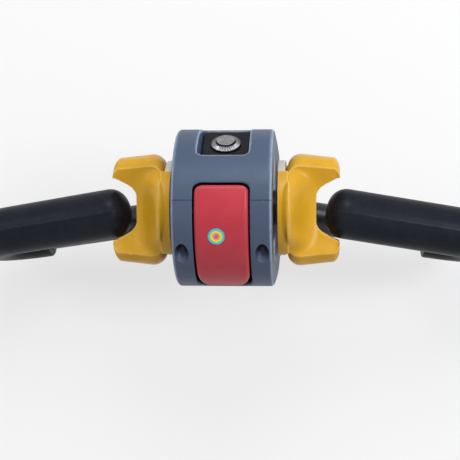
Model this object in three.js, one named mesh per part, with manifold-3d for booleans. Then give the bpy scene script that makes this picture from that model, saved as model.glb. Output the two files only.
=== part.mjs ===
// Control head of a tiller arm, with its belly button, butterfly throttles and looped grips.
// Millimetres. X runs along the throttle shaft, +Y is the side of the upper cover, +Z is the
// arm's axis, pointing out through the drum. The origin is the centre of the arm flange's face.
import * as THREE from "three";
import { mergeVertices } from "three/addons/utils/BufferGeometryUtils.js";
import Module from "manifold-3d";

const wasm = await Module();
wasm.setup();

const degrees = Math.PI / 180;

// Clearances
const FIT_GAP = 0.3; // between pieces that are fixed to each other
const RUN_GAP = 0.6; // between a moving piece and what it moves in

// Housing, measured from the throttle shaft's axis
const SHAFT_HEIGHT = 132; // arm flange face to the shaft's axis
const DRUM_RADIUS = 58;
const DRUM_HALF_WIDTH = 35.5;
const SHOULDER_HALF_WIDTH = 37.5; // the housing widens a little towards the neck
const SHOULDER_START = -4; // height at which the sides begin to widen
const SHOULDER_RUN = 40; // length over which they widen
const DRUM_WRAP = 112 * degrees; // the drum's round part, each way from the front
const NECK_HALF_DEPTH = 31;
const NECK_LENGTH = 16; // straight part at the housing's neck
const HOUSING_REACH = 104; // shaft axis to the housing's neck end
const COVER_WALL = 3;
const EDGE_ROUND = 4;
const RIB_HEIGHT = 5;
const RIB_THICKNESS = 2;
const RIB_OFFSET = 26;

// Cover screws
const SCREW_WELL_RADIUS = 5;
const SCREW_BOSS_RADIUS = 6.5;
const SCREW_SEAT = 12; // lower cover's material under a screw head
const SCREW_SHANK_RADIUS = 1.8;
const SCREW_HEAD_RADIUS = 4;
const SCREW_HEAD_HEIGHT = 3.4;
const SCREW_BITE = 15; // thread length in the upper cover
const FRONT_SCREW_DEPTH = 13.4; // behind the drum's front
const FRONT_SCREW_OFFSET = 28.4;
const REAR_SCREW_RISE = 12.7; // rear screws above the neck's block
const REAR_SCREW_OFFSET = 30;

// Control panel and push button, on a plane leaning back from the front
const PANEL_ANGLE = 50 * degrees;
const PANEL_DEPTH = 13; // panel's face below the drum's skin
const PANEL_THICKNESS = 2;
const PANEL_BACK = 31;
const POCKET_HALF_WIDTH = 17.2;
const POCKET_FRONT = 14.6;
const POCKET_CORNER = 4;
const POCKET_WALL = 2.5;
const POCKET_DRAFT = 5 * degrees; // the pocket's sides lean outwards
const PUSH_BUTTON_SET = 16; // button axis, back from the panel's middle
const BEZEL_RADIUS = 11;
const BEZEL_HEIGHT = 2;
const SEAL_THICKNESS = 0.8;
const BARREL_RADIUS = 9;
const BARREL_LENGTH = 26;
const CAP_RADIUS = 6.8;
const CAP_PROUD = 1.5;
const CAP_TRAVEL = 1.5;
const CAP_DEPTH = 7;
const NUT_RADIUS = 12.4;
const NUT_THICKNESS = 3;

// Belly button, wrapped round the drum
const BELLY_TOP = 11 * degrees;
const BELLY_END = -79 * degrees;
const BELLY_HALF_WIDTH = 19.3;
const BELLY_PROUD = 1.3;
const BELLY_SKIRT_DEPTH = 14; // skirt's edge below the drum's skin
const BELLY_WALL = 3;
const BELLY_EDGE = 3;
const BELLY_TOP_CORNER = 4;
const BELLY_END_CORNER = 9;
const BELLY_END_CORNER_RUN = 21; // the end's corners are drawn out along the drum
const BELLY_GAP = 1;
const BELLY_TRAVEL = 4.5 * degrees;
const BELLY_PIVOT_ANGLE = 6 * degrees;
const BELLY_PIVOT_DEPTH = 9; // below the drum's skin
const BELLY_PIN_RADIUS = 2;
const BELLY_SPRING_OFFSET = -24;
const BELLY_SPRING_RADIUS = 4.6;
const BELLY_SPRING_WIRE = 0.7;
const BELLY_SPRING_TURNS = 5;
const BELLY_SEAT_DEPTH = 12; // spring seat below the drum's front
const BELLY_SEAT_RADIUS = 7;
const SWITCH_FINGER_OFFSET = 8; // finger on the belly button that works the switch
const SWITCH_FINGER_WIDTH = 2.5;
const SWITCH_FINGER_REACH = 10.5;
const SWITCH_DEPTH = 17.5;
const SWITCH_HEIGHT = 10;
const PLUNGER_HEIGHT = 3;
const PLUNGER_DEPTH = 4;

// Throttle
const SHAFT_RADIUS = 6;
const BUSH_FLANGE_RADIUS = 13;
const BUSH_BARREL_RADIUS = 9;
const BUSH_FLANGE = 2.3;
const BUSH_BARREL_LENGTH = 8;
const RECESS_DEPTH = 0.4; // step in the housing's side round the throttle disc
const DISC_RADIUS = 35;
const DISC_THICKNESS = 5.8;
const SADDLE_THICKNESS = 2.2;
const SADDLE_WRAP = 59 * degrees;
const HUB_BOSS_RADIUS = 14;
const HUB_WEB = 2; // web between the disc and the wings
const CREST_HALF_WIDTH = 21; // the rise from the wings to the hub's rim
const CREST_HEIGHT = 35;
const CREST_RUN = 24;
const WING_TILT = 9 * degrees; // the wings lean towards the lower cover's side at rest
const WING_HALF_HEIGHT = 40.5;
const WING_DROP = 0.6; // the wings' middle lies below the shaft's axis
const WING_TAPER = 2.4; // the wings are lower at the horns' tips
const WING_CORNER = 9.5;
const WING_RIDGE = 32;
const WING_RIDGE_LEVEL = 14;
const WING_VALLEY_LEVEL = 10.5;
const WING_TIP = 84.5; // outer end of the horns
const WING_TIP_ROUND = 5;
const GRIP_CUP = 66; // bottom of the hollow round the grip's end
const GRIP_CUP_RADIUS = 25; // at the horns' tips
const END_SCREW_HEAD_RADIUS = 5;
const END_SCREW_HEAD = 4;
const END_SCREW_SHANK_RADIUS = 2.6;
const END_SCREW_BITE = 12;
const CAM_RADIUS = 11;
const CAM_HALF_WIDTH = 9;
const CAM_LUG_REACH = 16;
const CAM_LUG_HALF_DEPTH = 4;
const CAM_LUG_WIDTH = 6;
const RETURN_SPRING_RADIUS = 9;
const RETURN_SPRING_WIRE = 0.8;
const RETURN_SPRING_TURNS = 3;

// Chassis inside the covers
const CHEEK_THICKNESS = 3;
const CHASSIS_HALF_DEPTH = 15;
const WEB_WING = 9; // web's width beyond each cheek
const CHASSIS_FLOOR = 4;
const WEB_LEVEL = -27;
const WEB_THICKNESS = 3;
const SHELF_LEVEL = 19;
const BOARD_THICKNESS = 1.6;

// Loop handles
const BAR_RADIUS = 13;
const BAR_INNER_END = 19;
const BAR_ELBOW = 58;
const LOOP_SWEEP = 8 * degrees; // the loops lean towards the lower cover's side
const LOOP_REACH = 190;
const LOOP_DROP = 9; // lower corner below the bar's root
const LOOP_UPPER_LEVEL = -28;
const LOOP_CORNER = 30;
const GRIP_RADIUS = 18.6;
const GRIP_TIP = 74;
const GRIP_TIP_LEVEL = -1;
const GRIP_DOME = 14;
const GRIP_SLEEVE_END = 153;
const GRIP_SOLID_END = 24; // grip's solid length beyond the bar's end
const COLLAR_RADIUS = 18.5;
const COLLAR_STAND = 4;

// Neck that carries everything on the arm
const FLANGE_RADIUS = 38;
const FLANGE_THICKNESS = 10;
const FLANGE_BOLT_CIRCLE = 30;
const FLANGE_BOLT_RADIUS = 4.2;
const FLANGE_BOLTS = 4;
const COLUMN_RADIUS = 21;
const CABLE_BORE_RADIUS = 12;
const BLOCK_HALF_WIDTH = 30;
const BLOCK_HALF_DEPTH = 21;
const BLOCK_HEIGHT = 38;
const BAR_PIN_RADIUS = 2.5; // cross pins that hold the loop bars in the neck
const BAR_PIN_OFFSET = 24;

// Levels that follow from these, from the shaft's axis
const PANEL_LEVEL = DRUM_RADIUS - PANEL_DEPTH;
const FRONT_SCREW_HEIGHT = DRUM_RADIUS - FRONT_SCREW_DEPTH;
const BELLY_SKIRT_RADIUS = DRUM_RADIUS - BELLY_SKIRT_DEPTH;
const BELLY_PIVOT_RADIUS = DRUM_RADIUS - BELLY_PIVOT_DEPTH;
const BELLY_SEAT_LEVEL = DRUM_RADIUS - BELLY_SEAT_DEPTH;
const BLOCK_FOOT = COVER_WALL + FIT_GAP - HOUSING_REACH;
const BLOCK_TOP = BLOCK_FOOT + BLOCK_HEIGHT;
const REAR_SCREW_HEIGHT = BLOCK_TOP + REAR_SCREW_RISE;
const BAR_LEVEL = BLOCK_FOOT + BLOCK_HEIGHT / 2; // where the bars enter the housing
const LOOP_LOWER_LEVEL = BAR_LEVEL - LOOP_DROP;

const head = new THREE.Group();
head.name = "tiller_head";
head.position.z = SHAFT_HEIGHT;

const COLOURS = {
  cover: 0x5e6e85,
  lowerCover: 0x464b5c,
  red: 0xa83d48,
  yellow: 0xd9a738,
  black: 0x1c1d22,
  white: 0xd8d4cc,
  steel: 0xb4b6b8,
  chrome: 0xd8dadd,
  brown: 0x4a2c22,
  alloy: 0x9a9da2,
  board: 0x1f5a38,
};

// ---- making solids ----

function solid(geometry) {
  const bare = geometry.clone();
  bare.deleteAttribute("normal");
  bare.deleteAttribute("uv");
  const merged = mergeVertices(bare, 1e-4);
  const triVerts = new Uint32Array(merged.index.array);
  const vertProperties = new Float32Array(merged.attributes.position.array);
  const made = new wasm.Manifold(new wasm.Mesh({ numProp: 3, vertProperties, triVerts }));
  if (made.volume() > 0) {
    return made;
  }
  for (let i = 0; i < triVerts.length; i += 3) {
    [triVerts[i + 1], triVerts[i + 2]] = [triVerts[i + 2], triVerts[i + 1]];
  }
  return new wasm.Manifold(new wasm.Mesh({ numProp: 3, vertProperties, triVerts }));
}

function addPiece(name, made, colour) {
  const out = made.getMesh();
  const geometry = new THREE.BufferGeometry();
  geometry.setAttribute("position", new THREE.BufferAttribute(out.vertProperties, 3));
  geometry.setIndex(new THREE.BufferAttribute(out.triVerts, 1));
  geometry.computeVertexNormals();
  const mesh = new THREE.Mesh(geometry, new THREE.MeshStandardMaterial({ color: colour }));
  mesh.name = name;
  head.add(mesh);
  return mesh;
}

// The same piece on both sides, the left one mirrored.
function addPair(name, made, colour) {
  addPiece("right_" + name, made, colour);
  addPiece("left_" + name, made, colour).scale.x = -1;
}

function joined(pieces) {
  return pieces.reduce((all, piece) => all.add(piece));
}

function cut(from, pieces) {
  return pieces.reduce((rest, piece) => rest.subtract(piece), from);
}

// The triangles that close a ring of points, wound the way the ring runs.
function capTriangles(ring) {
  const normal = new THREE.Vector3();
  ring.forEach((p, i) => {
    normal.add(new THREE.Vector3().crossVectors(p, ring[(i + 1) % ring.length]));
  });
  normal.normalize();
  const across = new THREE.Vector3(normal.y, normal.z, normal.x);
  across.addScaledVector(normal, -across.dot(normal)).normalize();
  const up = new THREE.Vector3().crossVectors(normal, across);
  const flat = ring.map((p) => new THREE.Vector2(p.dot(across), p.dot(up)));
  return THREE.ShapeUtils.triangulateShape(flat, []).map(([a, b, c]) => {
    const turn = flat[b].clone().sub(flat[a]).cross(flat[c].clone().sub(flat[a]));
    return turn > 0 ? [a, b, c] : [a, c, b];
  });
}

// A closed skin through rings that all have the same number of points.
function loft(rings) {
  const count = rings[0].length;
  const index = [];
  for (let j = 0; j + 1 < rings.length; j++) {
    for (let i = 0; i < count; i++) {
      const a = j * count + i;
      const b = j * count + ((i + 1) % count);
      index.push(a, b, b + count, a, b + count, a + count);
    }
  }
  const last = (rings.length - 1) * count;
  for (const [a, b, c] of capTriangles(rings[0])) {
    index.push(a, c, b);
  }
  for (const [a, b, c] of capTriangles(rings[rings.length - 1])) {
    index.push(last + a, last + b, last + c);
  }
  const geometry = new THREE.BufferGeometry();
  const points = rings.flat().flatMap((p) => [p.x, p.y, p.z]);
  geometry.setAttribute("position", new THREE.Float32BufferAttribute(points, 3));
  geometry.setIndex(index);
  return solid(geometry);
}

function circle(centre, side, up, radius, sides) {
  const ring = [];
  for (let i = 0; i < sides; i++) {
    const a = (2 * Math.PI * i) / sides;
    const p = centre.clone().addScaledVector(side, radius * Math.cos(a));
    ring.push(p.addScaledVector(up, radius * Math.sin(a)));
  }
  return ring;
}

// A round bar along a run of points, with its own radius at each.
function sweep(points, radii, sides, firstSide) {
  const side = firstSide.clone();
  const rings = points.map((p, i) => {
    const before = points[Math.max(i - 1, 0)];
    const after = points[Math.min(i + 1, points.length - 1)];
    const along = after.clone().sub(before).normalize();
    side.addScaledVector(along, -side.dot(along)).normalize();
    const up = new THREE.Vector3().crossVectors(along, side);
    return circle(p, side, up, radii[i], sides);
  });
  return loft(rings);
}

function rod(from, to, radius, sides = 20) {
  const along = to.clone().sub(from).normalize();
  const side = new THREE.Vector3(along.y, along.z, along.x);
  return sweep([from, to], [radius, radius], sides, side);
}

function rodX(x0, x1, y, z, radius, sides) {
  return rod(new THREE.Vector3(x0, y, z), new THREE.Vector3(x1, y, z), radius, sides);
}

function rodY(y0, y1, x, z, radius, sides) {
  return rod(new THREE.Vector3(x, y0, z), new THREE.Vector3(x, y1, z), radius, sides);
}

function rodZ(z0, z1, x, y, radius, sides) {
  return rod(new THREE.Vector3(x, y, z0), new THREE.Vector3(x, y, z1), radius, sides);
}

function block(x0, x1, y0, y1, z0, z1) {
  const box = new THREE.BoxGeometry(x1 - x0, y1 - y0, z1 - z0);
  return solid(box.translate((x0 + x1) / 2, (y0 + y1) / 2, (z0 + z1) / 2));
}

// A flat outline pushed from one level to another, then set in place by a frame.
function prism(shape, from, to, frame) {
  const geometry = new THREE.ExtrudeGeometry(shape, {
    depth: to - from,
    bevelEnabled: false,
    curveSegments: 4,
  });
  return solid(geometry.translate(0, 0, from).applyMatrix4(frame));
}

function outline(points) {
  return new THREE.Shape(points.map(([x, y]) => new THREE.Vector2(x, y)));
}

function roundedOutline(x0, x1, y0, y1, radius) {
  const shape = new THREE.Shape();
  shape.absarc(x1 - radius, y1 - radius, radius, 0, Math.PI / 2);
  shape.absarc(x0 + radius, y1 - radius, radius, Math.PI / 2, Math.PI);
  shape.absarc(x0 + radius, y0 + radius, radius, Math.PI, 1.5 * Math.PI);
  shape.absarc(x1 - radius, y0 + radius, radius, 1.5 * Math.PI, 2 * Math.PI);
  return shape;
}

// Turned pieces: a profile of [radius, height] about the frame's third axis.
function turned(profile, frame, sides = 20) {
  const points = profile.map(([radius, height]) => new THREE.Vector2(radius, height));
  const geometry = new THREE.LatheGeometry(points, sides).rotateX(Math.PI / 2);
  return solid(geometry.applyMatrix4(frame));
}

const AXIS_X = new THREE.Vector3(1, 0, 0);
const AXIS_Y = new THREE.Vector3(0, 1, 0);
const AXIS_Z = new THREE.Vector3(0, 0, 1);

// Frames: outlines drawn in Y and Z and pushed along X, and outlines drawn on the panel.
const UPRIGHT = new THREE.Matrix4();
const ACROSS = new THREE.Matrix4().makeBasis(AXIS_Y, AXIS_Z, AXIS_X);
const PANEL_BACKWARDS = new THREE.Vector3(0, Math.cos(PANEL_ANGLE), -Math.sin(PANEL_ANGLE));
const PANEL_OUTWARDS = new THREE.Vector3(0, Math.sin(PANEL_ANGLE), Math.cos(PANEL_ANGLE));
const ON_PANEL = new THREE.Matrix4().makeBasis(AXIS_X, PANEL_BACKWARDS, PANEL_OUTWARDS);
const ON_BUTTON = ON_PANEL.clone().multiply(
  new THREE.Matrix4().makeTranslation(0, PUSH_BUTTON_SET, 0),
);

// ---- housing ----

// Side view of the housing as [y, z], from the neck's lower corner round the front.
function housingProfile(drumSteps, taperSteps) {
  const upper = [];
  for (let i = 0; i <= drumSteps; i++) {
    const a = (DRUM_WRAP * i) / drumSteps;
    upper.push([DRUM_RADIUS * Math.sin(a), DRUM_RADIUS * Math.cos(a)]);
  }
  const [y, z] = upper[drumSteps];
  const neckTop = NECK_LENGTH - HOUSING_REACH;
  const lead = (z - neckTop) * 0.38;
  const taper = new THREE.CubicBezierCurve(
    new THREE.Vector2(y, z),
    new THREE.Vector2(y + lead * Math.cos(DRUM_WRAP), z - lead * Math.sin(DRUM_WRAP)),
    new THREE.Vector2(NECK_HALF_DEPTH, neckTop + lead),
    new THREE.Vector2(NECK_HALF_DEPTH, neckTop),
  );
  for (const p of taper.getPoints(taperSteps).slice(1)) {
    upper.push([p.x, p.y]);
  }
  upper.push([NECK_HALF_DEPTH, -HOUSING_REACH]);
  const lower = upper.slice(1).map(([py, pz]) => [-py, pz]);
  return [...lower.reverse(), ...upper];
}

// A clockwise loop of [y, z] points, moved inwards.
function insetLoop(points, inset) {
  const count = points.length;
  return points.map(([y, z], i) => {
    const [y0, z0] = points[(i + count - 1) % count];
    const [y1, z1] = points[(i + 1) % count];
    const before = new THREE.Vector2(z - z0, y0 - y).normalize();
    const after = new THREE.Vector2(z1 - z, y - y1).normalize();
    const middle = before.clone().add(after).normalize();
    const reach = inset / middle.dot(before);
    return [y + middle.x * reach, z + middle.y * reach];
  });
}

function halfWidthAt(z) {
  const share = THREE.MathUtils.smoothstep(SHOULDER_START - z, 0, SHOULDER_RUN);
  return DRUM_HALF_WIDTH + (SHOULDER_HALF_WIDTH - DRUM_HALF_WIDTH) * share;
}

// The housing's side view spread across its width, with rounded edges along both sides.
function housingForm(profile, inset, round, roundSteps) {
  const rings = [];
  for (const side of [-1, 1]) {
    for (let k = 0; k <= roundSteps; k++) {
      const part = roundSteps ? k / roundSteps : 0;
      const a = (Math.PI / 2) * (side < 0 ? part : 1 - part);
      const sunk = roundSteps ? round * (1 - Math.sin(a)) : 0;
      const back = roundSteps ? round * (1 - Math.cos(a)) : 0;
      const loop = insetLoop(profile, inset + sunk);
      rings.push(
        loop.map(([y, z]) => new THREE.Vector3(side * (halfWidthAt(z) - inset - back), y, z)),
      );
    }
  }
  return loft(rings);
}

const RECESS_FACE = DRUM_HALF_WIDTH - RECESS_DEPTH;
const RECESS_RADIUS = DISC_RADIUS + FIT_GAP + SADDLE_THICKNESS + RUN_GAP + 0.4;
const DISC_FACE = RECESS_FACE + BUSH_FLANGE + RUN_GAP;

function discRecess(extra) {
  const far = SHOULDER_HALF_WIDTH + 20;
  const radius = RECESS_RADIUS + extra;
  return [
    rodX(RECESS_FACE - extra, far, 0, 0, radius, extra ? 20 : 32),
    rodX(-far, extra - RECESS_FACE, 0, 0, radius, extra ? 20 : 32),
  ];
}

// The panel's pocket: its walls from the panel's seat outwards, grown by a wall thickness.
function pocket(extra, back, floor) {
  const rings = [floor - extra, DRUM_RADIUS * 1.4].map((level) => {
    const half = POCKET_HALF_WIDTH + extra + (level - floor) * Math.tan(POCKET_DRAFT);
    const shape = roundedOutline(-half, half, -POCKET_FRONT - extra, back, POCKET_CORNER + extra);
    const points = shape.getPoints(4).slice(1);
    return points.map((p) => new THREE.Vector3(p.x, p.y, level).applyMatrix4(ON_PANEL));
  });
  return loft(rings);
}

// A patch wrapped round the drum between two radii, with rounded corners and outer edges.
function wrapped({ top, end, halfWidth, topCorner, endCorner, endRun, inner, outer, edge }) {
  const length = (top - end) * outer;
  const stations = [];
  const cornerSteps = 3;
  for (let k = 0; k <= cornerSteps; k++) {
    stations.push(topCorner * (1 - Math.cos((Math.PI / 2) * (k / cornerSteps))));
  }
  const plain = 10;
  for (let k = 1; k < plain; k++) {
    stations.push(topCorner + ((length - topCorner - endRun) * k) / plain);
  }
  const endSteps = 6;
  for (let k = endSteps; k >= 0; k--) {
    const share = 1 - Math.cos((Math.PI / 2) * (k / endSteps));
    stations.push(length - endRun * share);
  }
  const rings = stations.map((s) => {
    const fromTop = Math.max(topCorner - s, 0);
    const fromEnd = Math.max(endRun - (length - s), 0) / endRun;
    let half = halfWidth;
    half -= topCorner - Math.sqrt(Math.max(topCorner ** 2 - fromTop ** 2, 0));
    half -= endCorner * (1 - Math.sqrt(Math.max(1 - fromEnd ** 2, 0)));
    const nearEnd = Math.max(edge - Math.min(s, length - s), 0);
    const crest = outer - (edge - Math.sqrt(Math.max(edge ** 2 - nearEnd ** 2, 0)));
    const a = top - s / outer;
    const at = (x, r) => new THREE.Vector3(x, r * Math.sin(a), r * Math.cos(a));
    const ring = [at(-half, inner), at(half, inner)];
    const edgeSteps = edge ? 2 : 0;
    for (const side of [1, -1]) {
      for (let k = 0; k <= edgeSteps; k++) {
        const part = edgeSteps ? k / edgeSteps : 0;
        const b = (Math.PI / 2) * (side > 0 ? part : 1 - part);
        const x = half - edge * (1 - Math.cos(b));
        ring.push(at(side * x, crest - edge * (1 - Math.sin(b))));
      }
    }
    return ring;
  });
  return loft(rings);
}

const BELLY_OUTER = DRUM_RADIUS + BELLY_PROUD;
const CHEEK_TIP = BELLY_PIN_RADIUS + 2.4; // chassis round the belly button's pin
const CHEEK_OUTER = BELLY_HALF_WIDTH - BELLY_WALL - RUN_GAP; // the button's skirt runs outside
const BELLY_PIVOT_Y = BELLY_PIVOT_RADIUS * Math.sin(BELLY_PIVOT_ANGLE);
const BELLY_PIVOT_Z = BELLY_PIVOT_RADIUS * Math.cos(BELLY_PIVOT_ANGLE);

function bellySlot() {
  const swing = (BELLY_OUTER - BELLY_PIVOT_Z) * BELLY_TRAVEL;
  const drop = (BELLY_OUTER + BELLY_PIVOT_Y) * BELLY_TRAVEL;
  return wrapped({
    top: BELLY_TOP + (swing + RUN_GAP) / DRUM_RADIUS,
    end: BELLY_END - (drop + 2 * RUN_GAP) / DRUM_RADIUS,
    halfWidth: BELLY_HALF_WIDTH + BELLY_GAP,
    topCorner: BELLY_TOP_CORNER + BELLY_GAP,
    endCorner: BELLY_END_CORNER + BELLY_GAP,
    endRun: BELLY_END_CORNER_RUN - drop,
    inner: BELLY_SKIRT_RADIUS - 4,
    outer: DRUM_RADIUS * 1.2,
    edge: 0,
  });
}

function screwPlaces() {
  return [
    ["right_front", FRONT_SCREW_OFFSET, FRONT_SCREW_HEIGHT],
    ["left_front", -FRONT_SCREW_OFFSET, FRONT_SCREW_HEIGHT],
    ["right_rear", REAR_SCREW_OFFSET, REAR_SCREW_HEIGHT],
    ["left_rear", -REAR_SCREW_OFFSET, REAR_SCREW_HEIGHT],
  ];
}

// Both covers in one, before the parting cut.
function housingShell() {
  const outer = housingForm(housingProfile(18, 4), 0, EDGE_ROUND, 2);
  const hollow = cut(housingForm(housingProfile(10, 3), COVER_WALL, 0, 0), [
    ...discRecess(COVER_WALL),
    pocket(POCKET_WALL, PANEL_BACK + 3 * POCKET_WALL, PANEL_LEVEL - PANEL_THICKNESS),
  ]);
  const bosses = screwPlaces().map(([, x, z]) =>
    rodY(-DRUM_RADIUS, DRUM_RADIUS, x, z, SCREW_BOSS_RADIUS, 12),
  );
  const inner = insetLoop(housingProfile(10, 3), COVER_WALL / 2);
  const core = insetLoop(housingProfile(10, 3), COVER_WALL + RIB_HEIGHT);
  const half = RIB_THICKNESS / 2;
  const ribs = [-RIB_OFFSET, RIB_OFFSET].map((x) =>
    prism(outline(inner), x - half, x + half, ACROSS).subtract(
      prism(outline(core), x - RIB_THICKNESS, x + RIB_THICKNESS, ACROSS),
    ),
  );
  const inside = joined([...bosses, ...ribs]).intersect(outer);
  const collars = [-1, 1].map((side) => {
    const from = side * (SHOULDER_HALF_WIDTH - COVER_WALL);
    const to = side * (SHOULDER_HALF_WIDTH + COLLAR_STAND);
    return rodX(from, to, 0, BAR_LEVEL, COLLAR_RADIUS, 20);
  });
  return joined([outer.subtract(hollow), inside, ...collars]);
}

function housingHoles() {
  const far = SHOULDER_HALF_WIDTH + 20;
  const seat = PANEL_LEVEL - PANEL_THICKNESS;
  return [
    ...discRecess(0),
    pocket(0, DRUM_RADIUS, PANEL_LEVEL),
    pocket(0, PANEL_BACK + FIT_GAP, seat),
    rodBarrelHole(seat - 2 * POCKET_WALL, PANEL_LEVEL),
    bellySlot(),
    rodX(-far, far, 0, 0, BUSH_BARREL_RADIUS + FIT_GAP, 18),
    rodX(-far, far, 0, BAR_LEVEL, BAR_RADIUS + FIT_GAP, 18),
    rodZ(-HOUSING_REACH - 5, -HOUSING_REACH + 5, 0, 0, COLUMN_RADIUS + FIT_GAP, 24),
    neckBlock(FIT_GAP),
  ];
}

function rodBarrelHole(from, to) {
  const foot = new THREE.Vector3(0, 0, from).applyMatrix4(ON_BUTTON);
  const head = new THREE.Vector3(0, 0, to).applyMatrix4(ON_BUTTON);
  return rod(foot, head, BARREL_RADIUS + FIT_GAP, 20);
}

function makeCovers() {
  const shell = cut(housingShell(), housingHoles());
  const far = 3 * DRUM_RADIUS;
  const wells = [];
  const pilots = [];
  for (const [, x, z] of screwPlaces()) {
    wells.push(rodY(-far, -SCREW_SEAT, x, z, SCREW_WELL_RADIUS, 16));
    wells.push(rodY(-SCREW_SEAT - 1, 1, x, z, SCREW_SHANK_RADIUS + FIT_GAP, 8));
    pilots.push(rodY(-1, SCREW_BITE + 2, x, z, SCREW_SHANK_RADIUS + FIT_GAP, 8));
  }
  const upper = cut(shell.intersect(block(-far, far, 0, far, -far, far)), pilots);
  const lower = cut(shell.intersect(block(-far, far, -far, 0, -far, far)), wells);
  addPiece("upper_cover", largest(upper), COLOURS.cover);
  addPiece("lower_cover", largest(lower), COLOURS.lowerCover);
  for (const [place, x, z] of screwPlaces()) {
    const stem = rodY(-SCREW_SEAT - 1, SCREW_BITE, x, z, SCREW_SHANK_RADIUS, 8);
    const top = rodY(-SCREW_SEAT - SCREW_HEAD_HEIGHT, -SCREW_SEAT, x, z, SCREW_HEAD_RADIUS, 12);
    addPiece(place + "_cover_screw", stem.add(top), COLOURS.steel);
  }
}

// Cuts can leave loose crumbs: the cover itself is the largest body.
function largest(made) {
  const bodies = made.decompose();
  return bodies.reduce((most, body) => (body.volume() > most.volume() ? body : most));
}

// ---- control panel and push button ----

function makePanel() {
  const half = POCKET_HALF_WIDTH - FIT_GAP;
  const shape = roundedOutline(-half, half, FIT_GAP - POCKET_FRONT, PANEL_BACK, POCKET_CORNER - FIT_GAP);
  const plate = prism(shape, PANEL_LEVEL - PANEL_THICKNESS, PANEL_LEVEL, ON_PANEL);
  const hole = rodBarrelHole(PANEL_LEVEL - 2 * PANEL_THICKNESS, PANEL_LEVEL + PANEL_THICKNESS);
  addPiece("control_panel", plate.subtract(hole), COLOURS.black);
}

function makePushButton() {
  const foot = PANEL_LEVEL + SEAL_THICKNESS;
  const crest = foot + BEZEL_HEIGHT;
  const bore = CAP_RADIUS + FIT_GAP;
  const wellFloor = crest + CAP_PROUD - CAP_DEPTH - CAP_TRAVEL - RUN_GAP;
  const tail = foot - BARREL_LENGTH;
  const body = turned(
    [
      [0, tail],
      [BARREL_RADIUS, tail],
      [BARREL_RADIUS, foot],
      [BEZEL_RADIUS, foot],
      [BEZEL_RADIUS, crest - BEZEL_HEIGHT / 2],
      [BEZEL_RADIUS - BEZEL_HEIGHT / 2, crest],
      [bore, crest],
      [bore, wellFloor],
      [0, wellFloor],
    ],
    ON_BUTTON,
  );
  const pins = [-1, 1].map((side) => {
    const shape = roundedOutline(side * 4 - 1.5, side * 4 + 1.5, -0.5, 0.5, 0.4);
    return prism(shape, tail - 5, tail + 1, ON_BUTTON);
  });
  addPiece("push_button_body", joined([body, ...pins]), COLOURS.chrome);
  const cap = turned(
    [
      [0, crest + CAP_PROUD - CAP_DEPTH],
      [CAP_RADIUS, crest + CAP_PROUD - CAP_DEPTH],
      [CAP_RADIUS, crest + CAP_PROUD - 0.6],
      [CAP_RADIUS - 0.6, crest + CAP_PROUD],
      [0, crest + CAP_PROUD],
    ],
    ON_BUTTON,
  );
  addPiece("push_button_cap", cap, COLOURS.chrome);
  const seal = ringPiece(BARREL_RADIUS + FIT_GAP, BEZEL_RADIUS - 0.4, PANEL_LEVEL, foot);
  addPiece("push_button_seal", seal, COLOURS.black);
  const nutTop = PANEL_LEVEL - PANEL_THICKNESS - POCKET_WALL;
  const nut = ringPiece(BARREL_RADIUS + FIT_GAP, NUT_RADIUS, nutTop - NUT_THICKNESS, nutTop, 6);
  addPiece("push_button_nut", nut, COLOURS.steel);
}

function ringPiece(inner, outer, from, to, sides = 20) {
  const across = new THREE.Vector3().setFromMatrixColumn(ON_BUTTON, 0);
  const up = new THREE.Vector3().setFromMatrixColumn(ON_BUTTON, 1);
  const ends = [from, to].map((level) => new THREE.Vector3(0, 0, level).applyMatrix4(ON_BUTTON));
  const body = loft(ends.map((end) => circle(end, across, up, outer, sides)));
  const out = PANEL_OUTWARDS;
  const hole = rod(ends[0].addScaledVector(out, -1), ends[1].addScaledVector(out, 1), inner, 20);
  return body.subtract(hole);
}

// ---- belly button ----

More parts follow.
